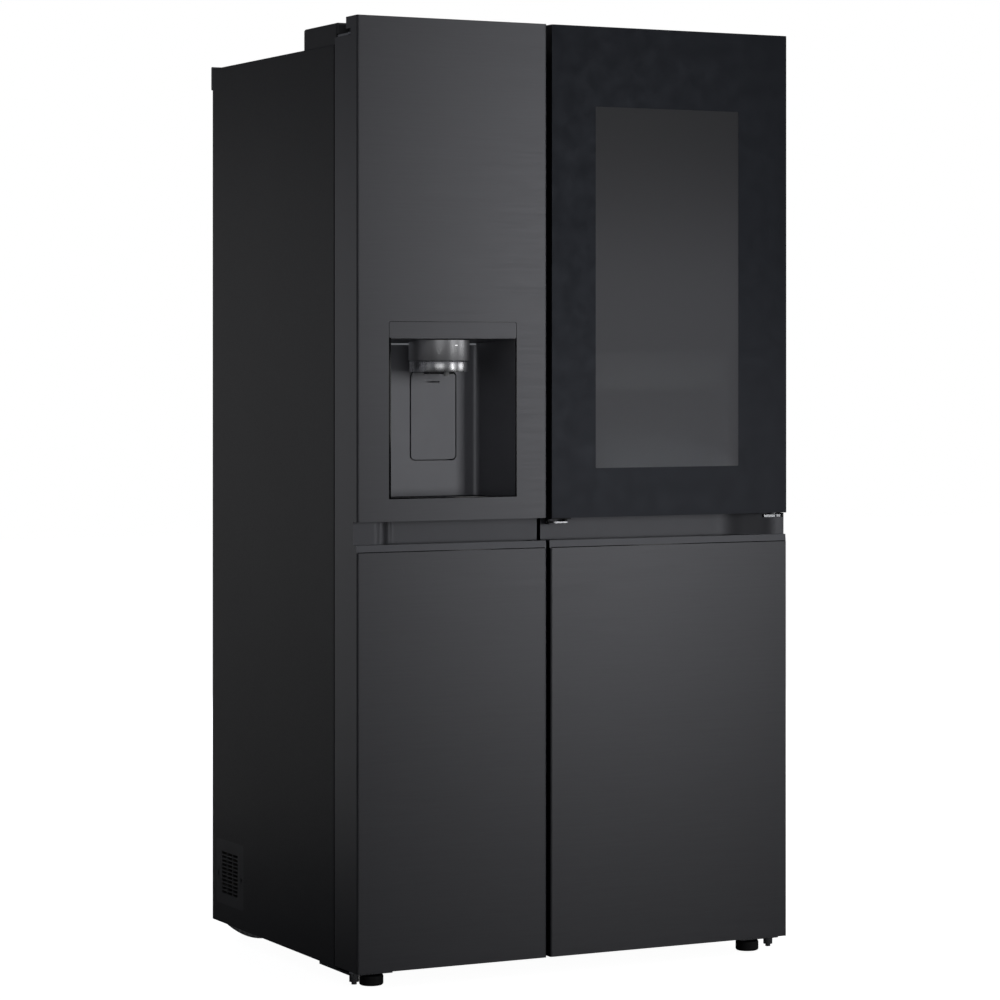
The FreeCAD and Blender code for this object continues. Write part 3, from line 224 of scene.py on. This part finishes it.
def moulded_plastic(name, colour, rough=0.45, grain=700.0, depth=0.00005, specular=0.5):
    """Moulded plastic with a fine eroded texture and a trace of unevenness."""
    material, tree, shader = new_material(name)
    setting(shader, Specular_IOR_Level=specular)
    texture = noise(tree, grain, detail=4.0, rough=0.65)
    cloud = noise(tree, 9.0)
    tree.links.new(tone(tree, cloud, scaled(colour, 0.94), scaled(colour, 1.06)),
                   shader.inputs["Base Color"])
    tree.links.new(spread(tree, texture, rough - 0.05, rough + 0.07), shader.inputs["Roughness"])
    relief(tree, shader, texture, depth, 0.5)
    return material


def gloss_plastic(name, colour, rough=0.12, specular=0.5):
    """Polished dark plastic with a faint waviness."""
    material, tree, shader = new_material(name)
    setting(shader, Base_Color=colour, Specular_IOR_Level=specular)
    wave = noise(tree, 30.0)
    tree.links.new(spread(tree, wave, rough - 0.03, rough + 0.04), shader.inputs["Roughness"])
    relief(tree, shader, wave, 0.00004, 0.2)
    return material


def printed_glass(name, top, bottom, rough, specular):
    """Dark printed glass, coloured a little lighter towards its lower edge: a painted light gradient."""
    material, tree, shader = new_material(name)
    setting(shader, Specular_IOR_Level=specular, Specular_Tint=(0.78, 0.85, 1.0))
    # Painted light: the colour grows lighter towards the glass's lower edge.
    tree.links.new(height_ramp(tree, 0.86, 1.45, bottom, top), shader.inputs["Base Color"])
    wave = noise(tree, 30.0)
    tree.links.new(spread(tree, wave, rough - 0.03, rough + 0.04), shader.inputs["Roughness"])
    relief(tree, shader, wave, 0.00004, 0.2)
    return material


def clear_plastic(name, colour, alpha, rough=0.12):
    """Clear moulded plastic or glass, seen as a tinted skin."""
    material, tree, shader = new_material(name)
    setting(shader, Base_Color=colour, Alpha=alpha)
    wave = noise(tree, 25.0)
    tree.links.new(spread(tree, wave, rough - 0.04, rough + 0.06), shader.inputs["Roughness"])
    relief(tree, shader, wave, 0.00005, 0.3)
    return material


def polished_metal(name, colour, rough=0.16):
    """Bright plated metal with a soft sheen."""
    material, tree, shader = new_material(name)
    setting(shader, Metallic=1.0, Base_Color=colour)
    haze = noise(tree, 220.0, (1, 1, 0.2))
    tree.links.new(spread(tree, haze, rough - 0.04, rough + 0.05), shader.inputs["Roughness"])
    return material


def spangled_zinc(name, colour):
    """Galvanised sheet with its patchy zinc crystals."""
    material, tree, shader = new_material(name)
    setting(shader, Metallic=1.0)
    coordinates = tree.nodes.new("ShaderNodeTexCoord")
    cells = tree.nodes.new("ShaderNodeTexVoronoi")
    setting(cells, Scale=110.0)
    tree.links.new(coordinates.outputs["Object"], cells.inputs["Vector"])
    tree.links.new(tone(tree, cells.outputs["Color"], scaled(colour, 0.82), scaled(colour, 1.1)),
                   shader.inputs["Base Color"])
    tree.links.new(spread(tree, cells.outputs["Color"], 0.32, 0.5), shader.inputs["Roughness"])
    return material


def rubber(name, colour):
    """Dull rubber with a fine grain."""
    material, tree, shader = new_material(name)
    grain = noise(tree, 900.0)
    tree.links.new(tone(tree, noise(tree, 30.0), scaled(colour, 0.85), scaled(colour, 1.15)),
                   shader.inputs["Base Color"])
    tree.links.new(spread(tree, grain, 0.6, 0.8), shader.inputs["Roughness"])
    relief(tree, shader, grain, 0.00004, 0.5)
    return material


def foam(name, colour):
    """Rigid polyurethane foam with its open cells."""
    material, tree, shader = new_material(name)
    cells = noise(tree, 260.0, detail=5.0)
    tree.links.new(tone(tree, cells, scaled(colour, 0.8), colour), shader.inputs["Base Color"])
    setting(shader, Roughness=0.9)
    relief(tree, shader, cells, 0.0006, 0.8)
    return material


def glowing(name, colour, strength, body):
    """Lit plastic: the colour it gives off and the body colour under it."""
    material, tree, shader = new_material(name)
    setting(shader, Base_Color=body, Emission_Color=colour, Emission_Strength=strength, Roughness=0.4)
    grain = noise(tree, 300.0)
    relief(tree, shader, grain, 0.00003, 0.3)
    return material


DARK_STEEL = (0.155, 0.1565, 0.167)
MATERIALS = {
    "door_steel": brushed_metal("brushed_door_steel", DARK_STEEL, "x"),
    "case_paint": painted_steel("case_paint", (0.052, 0.053, 0.058)),
    "rear_steel": painted_steel("rear_paint", (0.20, 0.20, 0.205), 0.5),
    "galvanised_steel": spangled_zinc("galvanised_sheet", (0.62, 0.63, 0.65)),
    "hinge_steel": brushed_metal("hinge_plating", (0.55, 0.56, 0.58), "y", 0.28, 0.08),
    "black_paint": painted_steel("black_paint", (0.012, 0.012, 0.013), 0.35),
    # The door glass's lighter lower colour is painted light.
    "door_glass": printed_glass("black_door_glass", (0.013, 0.0135, 0.018), (0.062, 0.063, 0.072),
                                0.33, 0.31),
    "shelf_glass": clear_plastic("shelf_glass", (0.62, 0.74, 0.72), 0.28, 0.06),
    "liner_plastic": moulded_plastic("liner_plastic", (0.74, 0.755, 0.77), 0.35, 500.0, 0.00003),
    "clear_plastic": clear_plastic("clear_bin_plastic", (0.72, 0.78, 0.82), 0.34),
    "dark_plastic": moulded_plastic("dark_plastic", (0.095, 0.096, 0.102)),
    "satin_plastic": metallic_plastic("satin_plastic", (0.152, 0.1545, 0.167)),
    "grey_plastic": moulded_plastic("grey_plastic", (0.055, 0.056, 0.060), 0.38),
    "black_gloss_plastic": gloss_plastic("black_gloss_plastic", (0.012, 0.0122, 0.0135), 0.14),
    "lamp_plastic": glowing("lamp_cover", (1.0, 0.98, 0.95), 0.6, (0.9, 0.9, 0.9)),
    "chrome_trim": polished_metal("satin_chrome", (0.95, 0.955, 0.97), 0.29),
    "gasket_rubber": rubber("gasket_rubber", (0.10, 0.10, 0.105)),
    "wheel_plastic": moulded_plastic("wheel_plastic", (0.016, 0.016, 0.017), 0.5),
    "fin_aluminium": polished_metal("fin_aluminium", (0.72, 0.73, 0.75), 0.35),
    "foam": foam("rigid_foam", (0.72, 0.62, 0.36)),
}


RECESS_PLASTIC = metallic_plastic("recess_plastic", (0.375, 0.378, 0.402), 0.47, 0.9)
# CAD nodes whose finish differs from the one their record slot usually has.
SPECIAL = {
    "dispenser_housing": RECESS_PLASTIC,
    "dispenser_paddle": RECESS_PLASTIC,
    "drip_tray": moulded_plastic("tray_plastic", (0.010, 0.0102, 0.012), 0.5, specular=0.1),
    "outer_door_frame": moulded_plastic("frame_plastic", (0.022, 0.0223, 0.025)),
}


def paint_frame():
    """Give every CAD node the procedural material of its record slot, or its own."""
    for entry in frame["record"]["subparts"]:
        node = nodes[entry["node"]]
        node.data.materials.clear()
        node.data.materials.append(SPECIAL.get(entry["node"], MATERIALS[entry["material_slot"]]))


# ---------------------------------------------------------------- studio

def camera_ray(tree):
    """One for rays straight from the camera; used only by the world and the floor."""
    return tree.nodes.new("ShaderNodeLightPath").outputs["Is Camera Ray"]


def make_world():
    """White to look at; as light, a dim even studio."""
    world = bpy.data.worlds.new("studio")
    bpy.context.scene.world = world
    world.use_nodes = True
    tree = world.node_tree
    tree.nodes.clear()
    output = tree.nodes.new("ShaderNodeOutputWorld")
    studio = tree.nodes.new("ShaderNodeBackground")
    setting(studio, Color=(0.95, 0.97, 1.06), Strength=STUDIO_DIM)
    backdrop = tree.nodes.new("ShaderNodeBackground")
    setting(backdrop, Color=(1.0, 1.0, 1.0), Strength=1.0)
    mix = tree.nodes.new("ShaderNodeMixShader")
    tree.links.new(camera_ray(tree), mix.inputs[0])
    tree.links.new(studio.outputs[0], mix.inputs[1])
    tree.links.new(backdrop.outputs[0], mix.inputs[2])
    tree.links.new(mix.outputs[0], output.inputs[0])


def make_floor():
    """Plain pale floor with a soft contact shadow; as a reflector it is dark grey."""
    bpy.ops.mesh.primitive_plane_add(size=30.0, location=(0, 0, 0))
    floor = bpy.context.object
    floor.name = "studio_floor"
    material, tree, shader = new_material("studio_floor")
    setting(shader, Base_Color=(0.5, 0.5, 0.5), Roughness=0.8, Specular_IOR_Level=0.1,
            Emission_Color=(1.0, 1.0, 1.0), Emission_Strength=0.97)
    plain = tree.nodes.new("ShaderNodeBsdfDiffuse")
    setting(plain, Color=(0.085, 0.085, 0.085))
    mix = tree.nodes.new("ShaderNodeMixShader")
    tree.links.new(camera_ray(tree), mix.inputs[0])
    tree.links.new(plain.outputs[0], mix.inputs[1])
    tree.links.new(shader.outputs[0], mix.inputs[2])
    output = next(node for node in tree.nodes if node.type == "OUTPUT_MATERIAL")
    tree.links.new(mix.outputs[0], output.inputs[0])
    floor.data.materials.append(material)


def area_light(name, place, target, size, radiance, spread_angle=180.0):
    """Rectangular light; the power that gives a radiance is pi times the area times it."""
    data = bpy.data.lights.new(name, "AREA")
    data.shape = "RECTANGLE"
    data.size, data.size_y = size
    data.energy = math.pi * size[0] * size[1] * radiance
    data.spread = math.radians(spread_angle)
    lamp = bpy.data.objects.new(name, data)
    lamp.visible_camera = False
    lamp.location = place
    direction = Vector(target) - Vector(place)
    lamp.rotation_euler = direction.to_track_quat("-Z", "Y").to_euler()
    bpy.context.scene.collection.objects.link(lamp)


def make_lights():
    """Softboxes given as place, target, size and radiance."""
    area_light("front_softbox", (2.34, -4.81, 1.38), (0.02, -0.37, 1.2), (0.75, 2.1), 2.7)
    area_light("camera_side_softbox", (-2.3, -5.5, 1.5), (-0.26, -0.36, 1.15), (3.0, 1.8), 0.66)
    area_light("overhead_softbox", (0.3, -0.6, 4.4), (0, 0, 0.9), (2.4, 2.4), 0.35)
    area_light("right_card", (5.0, -2.4, 1.3), (-0.26, -0.36, 1.15), (1.8, 1.8), 1.5)
    area_light("left_rear_card", (-2.3, 4.2, 1.0), (-0.456, 0.0, 0.9), (2.2, 1.8), 0.24)
    area_light("left_edge_card", (-4.1, -1.95, 1.1), (-0.45, -0.36, 0.95), (1.2, 2.2), 0.12)
    area_light("left_floor_wash", (-1.9, 2.6, 2.8), (-1.9, 2.6, 0.0), (1.5, 1.5), 4.4, 60.0)
    area_light("front_low_card", (2.5, -4.8, 0.66), (0.18, -0.37, 0.9), (0.8, 0.3), 1.2)
    area_light("right_rear_card", (3.0, 3.0, 1.5), (0.3, 0.0, 1.0), (1.6, 1.6), 1.4)
    area_light("rear_softbox", (1.6, 4.6, 1.7), (0.1, 0.36, 0.9), (2.6, 2.4), 2.6)
    area_light("right_softbox", (4.6, 0.6, 1.4), (0.46, 0.1, 0.9), (2.0, 2.2), 1.4)


# ---------------------------------------------------------------- mesh helpers

def piece(name, mesh, body, slot, material=None):
    """Link a finished mesh as a piece that rides on a CAD body."""
    thing = bpy.data.objects.new(name, mesh)
    bpy.context.scene.collection.objects.link(thing)
    thing.data.materials.append(material or MATERIALS[slot])
    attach(thing, body)
    return thing


def outline_plate(outer, holes, depth):
    """Flat plate in the front plane from closed (x, z) outlines, between two y values."""
    work = bmesh.new()
    edges = []
    for loop in [outer] + holes:
        ring = [work.verts.new((x, depth[0], z)) for x, z in loop]
        edges += [work.edges.new((ring[i], ring[(i + 1) % len(ring)])) for i in range(len(ring))]
    bmesh.ops.triangle_fill(work, use_beauty=True, use_dissolve=False, edges=edges)
    front = work.faces[:]
    made = bmesh.ops.extrude_face_region(work, geom=front)
    moved = [item for item in made["geom"] if isinstance(item, bmesh.types.BMVert)]
    bmesh.ops.translate(work, verts=moved, vec=(0, depth[1] - depth[0], 0))
    bmesh.ops.recalc_face_normals(work, faces=work.faces[:])
    mesh = bpy.data.meshes.new("plate")
    work.to_mesh(mesh)
    work.free()
    return mesh


def round_rect(x, z, radius, steps=6):
    """Closed outline of a rounded rectangle."""
    corners = ((x[1] - radius, z[1] - radius, 0), (x[0] + radius, z[1] - radius, 90),
               (x[0] + radius, z[0] + radius, 180), (x[1] - radius, z[0] + radius, 270))
    points = []
    for cx, cz, start in corners:
        for step in range(steps + 1):
            angle = math.radians(start + 90.0 * step / steps)
            points.append((cx + radius * math.cos(angle), cz + radius * math.sin(angle)))
    return points


def box_mesh(x, y, z, radius=0.0, segments=3):
    """Box from ranges in millimetres, with all its edges rounded."""
    work = bmesh.new()
    add_box(work, x, y, z, radius, segments)
    return finished(work)


def add_box(work, x, y, z, radius=0.0, segments=3):
    """Add a rounded box, from ranges in millimetres, to a bmesh."""
    made = bmesh.ops.create_cube(work, size=1.0)["verts"]
    for vert in made:
        vert.co = [low * MM if side < 0 else high * MM for side, (low, high) in zip(vert.co, (x, y, z))]
    if radius:
        edges = {edge for vert in made for edge in vert.link_edges}
        bmesh.ops.bevel(work, geom=list(edges), offset=radius * MM, segments=segments, affect="EDGES",
                        profile=0.5, clamp_overlap=True)


def finished(work):
    """Turn a bmesh into a mesh with outward faces, smooth except at sharp edges."""
    bmesh.ops.recalc_face_normals(work, faces=work.faces[:])
    for face in work.faces:
        face.smooth = True
    for edge in work.edges:
        edge.smooth = len(edge.link_faces) == 2 and edge.calc_face_angle(0.0) < math.radians(40.0)
    mesh = bpy.data.meshes.new("part")
    work.to_mesh(mesh)
    work.free()
    return mesh


def lathe_mesh(profile, centre, segments=96):
    """Closed (radius, height) outline in millimetres turned about a vertical axis."""
    work = bmesh.new()
    rings = []
    for step in range(segments):
        angle = 2.0 * math.pi * step / segments
        across, along = math.cos(angle), math.sin(angle)
        rings.append([work.verts.new(((centre[0] + radius * across) * MM,
                                      (centre[1] + radius * along) * MM, height * MM))
                      for radius, height in profile])
    for step in range(segments):
        here, following = rings[step], rings[(step + 1) % segments]
        for index in range(len(profile)):
            after = (index + 1) % len(profile)
            work.faces.new((here[index], following[index], following[after], here[after]))
    return finished(work)


def inset(span, amount):
    """A span brought in by an amount at both ends."""
    return (span[0] + amount, span[1] - amount)


def in_metres(span):
    """A span in millimetres, in metres."""
    return (span[0] * MM, span[1] * MM)


def in_mm(corners):
    """A box's two corners as x, y and z ranges in millimetres."""
    return [(low / MM, high / MM) for low, high in zip(*corners)]


def solid_boxes(name):
    """The box of each separate solid in a CAD node, in millimetres, from the lowest up."""
    work = bmesh.new()
    work.from_mesh(nodes[name].data)
    bmesh.ops.remove_doubles(work, verts=work.verts[:], dist=0.00001)
    found, seen = [], set()
    for start in work.verts:
        if start in seen:
            continue
        group, waiting = [], [start]
        seen.add(start)
        while waiting:
            vert = waiting.pop()
            group.append(vert.co.copy())
            for edge in vert.link_edges:
                other = edge.other_vert(vert)
                if other not in seen:
                    seen.add(other)
                    waiting.append(other)
        ranges = [(min(point[axis] for point in group) / MM, max(point[axis] for point in group) / MM)
                  for axis in range(3)]
        found.append(ranges)
    work.free()
    return sorted(found, key=lambda item: (item[2][0], item[0][0]))


# ---------------------------------------------------------------- ice and water dispenser

def dispenser_strip():
    """Steel control strip in a fine dark gap, above the recess."""
    x, y, z = in_mm(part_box("dispenser_control_strip"))
    back = y[0] + STRIP_THICKNESS
    outline = round_rect([(x[0] + STRIP_GAP) * MM, (x[1] - STRIP_GAP) * MM],
                         [z[0] * MM, (z[1] - STRIP_GAP) * MM], 3.2 * MM)
    strip = piece("control_strip_plate", outline_plate(outline, [], (y[0] * MM, back * MM)),
                  "freezer_door", "door_steel")
    bevel = strip.modifiers.new("edge", "BEVEL")
    bevel.width, bevel.segments, bevel.limit_method = 0.4 * MM, 2, "ANGLE"
    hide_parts("dispenser_control_strip")
    behind = round_rect([x[0] * MM, x[1] * MM], [z[0] * MM, z[1] * MM], 4 * MM)
    piece("control_strip_gap", outline_plate(behind, [], (back * MM, y[1] * MM)),
          "freezer_door", "black_gloss_plastic")


def dispenser_shadow_rim(front):
    """Narrow black rim around the recess's open edge, partly a painted shadow for the gap there, and the
    pale edge behind its ceiling, whose faint glow is a painted highlight.
    """
    x, _, z = in_mm(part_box("dispenser_control_strip"))
    floor = in_mm(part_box("drip_tray"))[2][1]
    width, thin = 4.6, 1.0
    work = bmesh.new()
    depth = (front + 0.5, front + 7.0)
    # The black rim is a bezel that also paints the shadow gap along the opening's left, right and lower
    # edges.
    add_box(work, (x[0], x[0] + width), depth, (floor, z[0]), 0.4, 2)
    add_box(work, (x[1] - thin, x[1]), depth, (floor, z[0]), 0.3, 2)
    add_box(work, (x[0] + width, x[1] - thin), depth, (floor, floor + 2.4), 0.4, 2)
    piece("dispenser_shadow_rim", finished(work), "freezer_door", "black_gloss_plastic")
    # The ceiling edge glows faintly: a painted highlight for the bright line along the back edge of the
    # recess's ceiling.
    edge = box_mesh(inset(x, 30.0), (DISPENSER_BACK - 2.2, DISPENSER_BACK + 0.2), CEILING_EDGE_Z, 0.7)
    piece("dispenser_ceiling_edge", edge, "freezer_door", "lamp_plastic",
          glowing("ceiling_edge_painted_highlight", (0.9, 0.95, 1.0), CEILING_EDGE_HIGHLIGHT_GLOW, (0.5, 0.5, 0.52)))


def on_head(work, angle, z, size, lift=0.12):
    """Small plate on the head's round face; angle 0 faces the front, positive to the right."""
    x, y = HEAD_CENTRE
    turn = math.radians(angle)
    made = bmesh.ops.create_cube(work, size=1.0)["verts"]
    for vert in made:
        across, up = vert.co.x * size[0], vert.co.z * size[1]
        out = HEAD_RADIUS + lift * (vert.co.y + 0.5)
        swing = turn + across / HEAD_RADIUS
        vert.co = ((x + out * math.sin(swing)) * MM, (y - out * math.cos(swing)) * MM, (z + up) * MM)


def dispenser_head():
    """Round head with its floor, the ice outlet block, plain marks and the lamp dash."""
    x, y = HEAD_CENTRE
    top, bottom, radius = HEAD_TOP, HEAD_BOTTOM, HEAD_RADIUS
    profile = [(radius - 7, bottom), (radius - 1.2, bottom), (radius - 0.4, bottom + 0.4),
               (radius, bottom + 1.4), (radius, top), (radius - 7, top)]
    shell = piece("dispenser_head_shell", lathe_mesh(profile, HEAD_CENTRE),
                  "freezer_door", "black_gloss_plastic",
                  metallic_plastic("head_lacquer", (0.76, 0.763, 0.78), 0.40, 0.85))
    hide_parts("dispenser_head")
    plate = [(14, bottom - 9), (radius - 9, bottom - 9), (radius - 7.5, bottom), (radius - 7, bottom + 4),
             (14, bottom + 4)]
    piece("dispenser_head_floor", lathe_mesh(plate, HEAD_CENTRE), "freezer_door", "dark_plastic")
    outlet = box_mesh((x - 34, x + 19), (y - 27, y - 3), (bottom - 25, bottom - 8), 3.0)
    piece("ice_outlet_block", outlet, "freezer_door", "dark_plastic")

    marks = bmesh.new()
    for step in range(3):
        on_head(marks, 8.5, 1178 - 3.6 * step, (5.0, 1.1))
    for turn in range(12):
        angle = 2.0 * math.pi * turn / 12
        on_head(marks, -25 + 3.6 * math.sin(angle), 1176 + 3.6 * math.cos(angle), (1.5, 1.5))
    on_head(marks, -25, 1169.5, (5.0, 0.9))
    on_head(marks, 27, 1174, (1.2, 8.0))
    piece("dispenser_marks", finished(marks), "freezer_door", "lamp_plastic",
          glowing("lit_print", (0.95, 0.97, 1.0), PRINT_GLOW, (0.5, 0.5, 0.5)))
    lamp = bmesh.new()
    on_head(lamp, 9.5, 1184.5, (5.0, 1.6), 0.3)
    piece("dispenser_lamp", finished(lamp), "freezer_door", "lamp_plastic",
          glowing("indicator_lamp", (1.0, 1.0, 1.0), INDICATOR_GLOW, (0.9, 0.9, 0.9)))


def dispenser_ring():
    """Bright ring under the head, and the water nozzle in front of its middle."""
    bottom, top, radius = HEAD_BOTTOM - RING_HEIGHT, HEAD_BOTTOM - 0.4, HEAD_RADIUS - 1.2
    profile = [(radius - 8, bottom), (radius - 1.2, bottom), (radius - 0.3, bottom + 0.4),
               (radius, bottom + 1.3), (radius, top - 2.4), (radius - 0.5, top - 1.0),
               (radius - 1.6, top), (radius - 8, top)]
    ring = piece("dispenser_ring", lathe_mesh(profile, HEAD_CENTRE, 128), "freezer_door", "chrome_trim")
    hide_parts("dispenser_spout")
    low, high = NOZZLE_Z
    nozzle = [(3, low + 1), (4.2, low), (5, low + 1), (5, high), (3, high)]
    piece("water_nozzle", lathe_mesh(nozzle, NOZZLE, 32), "freezer_door", "chrome_trim",
          moulded_plastic("nozzle_plastic", (0.93, 0.935, 0.94), 0.3, specular=0.8))


def dispenser():
    """Everything of the dispenser that is drawn finer than in the CAD."""
    front = in_mm(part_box("freezer_upper_panel"))[1][0]
    dispenser_strip()
    dispenser_shadow_rim(front)
    dispenser_head()
    dispenser_ring()


# ---------------------------------------------------------------- glazed outer door

def window_film():
    """Smoked half-mirror film with a soft milky body, coloured lighter towards the bottom as painted light.
    """
    material, tree, shader = new_material("smoked_window_film")
    setting(shader, Specular_IOR_Level=0.25, Roughness=0.30, Alpha=0.72)
    # Painted light: the body colour is lighter towards the bottom of the window.
    tree.links.new(height_ramp(tree, 1.21, 1.64, (0.33, 0.333, 0.362), (0.12, 0.122, 0.135)),
                   shader.inputs["Base Color"])
    dots = noise(tree, 1500.0, detail=1.0)
    relief(tree, shader, dots, 0.00001, 0.2)
    return material


def lip_shadow_strips():
    """Fine dark strip at the joint between each grip lip and the panel under it: a painted shadow for the
    shade under the lip's setback.
    """
    front = in_mm(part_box("freezer_lower_panel"))[1][0]
    height = (BAND_BOTTOM - 0.2, BAND_BOTTOM + 1.5)
    for node, body in (("freezer_lower_panel", "freezer_door"), ("fridge_door_panel", "fridge_door")):
        across = in_mm(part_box(node))[0]
        # Painted shadow: a black strip where the lip's setback would cast its shade.
        shadow_strip = box_mesh(inset(across, 3.6), (front + 0.5, front + 3.4), height, 0.2, 2)
        piece(body + "_lip_shadow_strip", shadow_strip, body, "black_gloss_plastic")


def outer_door_glazing():
    """Black-printed front glass with a smoked window, and the clear inner pane."""
    low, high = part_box("outer_door_glass")
    front, back = low.y, low.y + DOOR_GLASS_THICKNESS * MM
    window = round_rect(in_metres(WINDOW_X), in_metres(WINDOW_Z), 2 * MM)
    edge = round_rect((low.x, high.x), (low.z, high.z), 1.5 * MM)
    border = outline_plate(edge, [window], (front, back))
    glass = piece("door_glass_border", border, "outer_door", "door_glass")
    bevel = glass.modifiers.new("edge", "BEVEL")
    bevel.width, bevel.segments, bevel.limit_method = 0.6 * MM, 2, "ANGLE"
    pane = outline_plate(window, [], (front + 0.2 * MM, back - 0.2 * MM))
    piece("door_glass_window", pane, "outer_door", "door_glass", window_film())
    inner = outline_plate(round_rect(in_metres(INNER_PANE_X), in_metres(INNER_PANE_Z), 6 * MM), [],
                          in_metres(INNER_PANE_Y))
    piece("window_inner_pane", inner, "outer_door", "door_glass",
          clear_plastic("inner_pane_glass", (0.5, 0.55, 0.55), 0.12, 0.05))
    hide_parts("outer_door_glass")


def pocket_lamp():
    """Lamp strip on the floor of the shelf pocket, below the window."""
    strip = box_mesh(POCKET_LAMP_X, POCKET_LAMP_Y, (POCKET_FLOOR + 0.5, POCKET_FLOOR + 4.5), 1.5)
    piece("pocket_lamp_strip", strip, "fridge_door", "lamp_plastic",
          glowing("pocket_lamp", (1.0, 1.0, 1.0), POCKET_LAMP_GLOW, (0.9, 0.9, 0.9)))


# ---------------------------------------------------------------- fittings inside and behind

def rim(work, x, y, top, radius, profile):
    """Moulding with an (offset, height) profile, run round a rounded rectangle in plan."""
    loops = []
    for offset, height in profile:
        outline = round_rect(inset(x, -offset), inset(y, -offset), radius + offset)
        loops.append([work.verts.new((across * MM, along * MM, (top + height) * MM))
                      for across, along in outline])
    for loop, following in zip(loops, loops[1:] + loops[:1]):
        for index in range(len(loop)):
            after = (index + 1) % len(loop)
            work.faces.new((loop[index], loop[after], following[after], following[index]))


def bin_rims():
    """Thick rounded rim round the top of each door bin."""
    profile = [(0.2, -7.0), (0.7, -6.4), (0.8, -1.0), (0.4, 0.2), (-0.6, 0.7), (-2.2, 0.7), (-3.4, 0.2),
               (-3.8, -0.8), (-3.6, -2.4), (-2.6, -3.2), (-2.4, -7.0)]
    for node, body in (("freezer_door_bins", "freezer_door"), ("fridge_door_bins", "fridge_door")):
        work = bmesh.new()
        for x, y, z in solid_boxes(node):
            rim(work, x, y, z[1], 10.0, profile)
        piece(node.replace("_bins", "_bin_rims"), finished(work), body, "clear_plastic",
              moulded_plastic(node + "_rim", (0.50, 0.51, 0.53), 0.25))


def shelf_trims():
    """Moulded strips that wrap the front edges of the glass shelves."""
    work = bmesh.new()
    for x, y, z in solid_boxes("glass_shelves"):
        add_box(work, inset(x, 12.0), (y[0] - 3.0, y[0] + 9.0), (z[0] - 2.0, z[1] + 1.5), 1.4, 3)
        add_box(work, inset(x, 12.0), (y[1] - 6.0, y[1]), (z[0], z[1] + 1.5), 1.2, 3)
    piece("shelf_trims", finished(work), "cabinet", "liner_plastic")


def drawer_handles():
    """Rounded grip bar under the scoop in each drawer's front."""
    for name in ("freezer_upper_drawer", "freezer_lower_drawer", "crisper_upper_drawer",
                 "crisper_lower_drawer"):
        x, y, z = in_mm(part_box(name))
        middle = (x[0] + x[1]) / 2
        bar = box_mesh((middle - 66, middle + 66), (y[0] - 3.0, y[0] + 5.0), (z[1] - 34, z[1] - 26), 2.4, 4)
        piece(name + "_handle", bar, name, "liner_plastic")


def lamp_lenses():
    """Ribbed lens under each ceiling lamp."""
    work = bmesh.new()
    for x, y, z in solid_boxes("ceiling_lamps"):
        add_box(work, inset(x, 4.0), inset(y, 4.0), (z[0] - 2.5, z[0] + 0.5), 1.2, 3)
        ribs = int((x[1] - x[0] - 20.0) / 6.0)
        for index in range(ribs):
            start = x[0] + 10.0 + 6.0 * index
            add_box(work, (start, start + 3.0), inset(y, 6.0), (z[0] - 3.3, z[0] - 2.2), 0.5, 2)
    piece("ceiling_lamp_lenses", finished(work), "cabinet", "lamp_plastic",
          glowing("lit_lamp_lens", (1.0, 0.98, 0.95), CEILING_LAMP_GLOW, (0.9, 0.9, 0.9)))


def screw_head(work, x, y, z, radius=4.2, segments=20):
    """Pan head with a socket, standing out backwards from a rear face at y."""
    steps = [(1.0, 0.0), (1.0, 0.8), (0.83, 1.7), (0.55, 2.2), (0.36, 2.2), (0.32, 1.1)]
    rings = []
    for share, out in steps:
        ring = []
        for step in range(segments):
            angle = 2.0 * math.pi * step / segments
            ring.append(work.verts.new(((x + radius * share * math.cos(angle)) * MM, (y + out) * MM,
                                        (z + radius * share * math.sin(angle)) * MM)))
        rings.append(ring)
    for ring, following in zip(rings, rings[1:]):
        for index in range(segments):
            after = (index + 1) % segments
            work.faces.new((ring[index], ring[after], following[after], following[index]))
    work.faces.new(rings[-1])
    work.faces.new(list(reversed(rings[0])))


def rear_screws():
    """Screws round the rear panel and the machine compartment's cover."""
    x, y, z = in_mm(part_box("machine_rear_cover"))
    panel_x = in_mm(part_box("rear_panel"))[0]
    back = y[1] - 0.1
    work = bmesh.new()
    for side in panel_x:
        across = side + 9.0 if side < 0 else side - 9.0
        for step in range(7):
            screw_head(work, across, back, 300.0 + 220.0 * step)
    for across in (x[0] + 14.0, (x[0] + x[1]) / 2, x[1] - 14.0):
        for height in (z[0] + 12.0, z[1] - 10.0):
            screw_head(work, across, back, height)
    piece("rear_screws", finished(work), "cabinet", "galvanised_steel")


def vent_clips():
    """Fixing clips beside each side vent's grille."""
    work = bmesh.new()
    for x, y, z in solid_boxes("side_vent_covers"):
        proud = (x[0], x[0] + 0.6) if x[0] < 0 else (x[1] - 0.6, x[1])
        for along in (y[0] + 12.0, y[1] - 12.0):
            add_box(work, proud, (along - 4.0, along + 4.0), (z[0] + 55.0, z[0] + 63.0), 0.25, 2)
    piece("vent_clips", finished(work), "cabinet", "dark_plastic")


make_camera()
make_world()
make_floor()
make_lights()
paint_frame()
dispenser()
outer_door_glazing()
pocket_lamp()
lip_shadow_strips()
bin_rims()
shelf_trims()
drawer_handles()
lamp_lenses()
rear_screws()
vent_clips()

bpy.context.scene.view_settings.view_transform = "Standard"
bpy.context.scene.view_settings.look = "None"
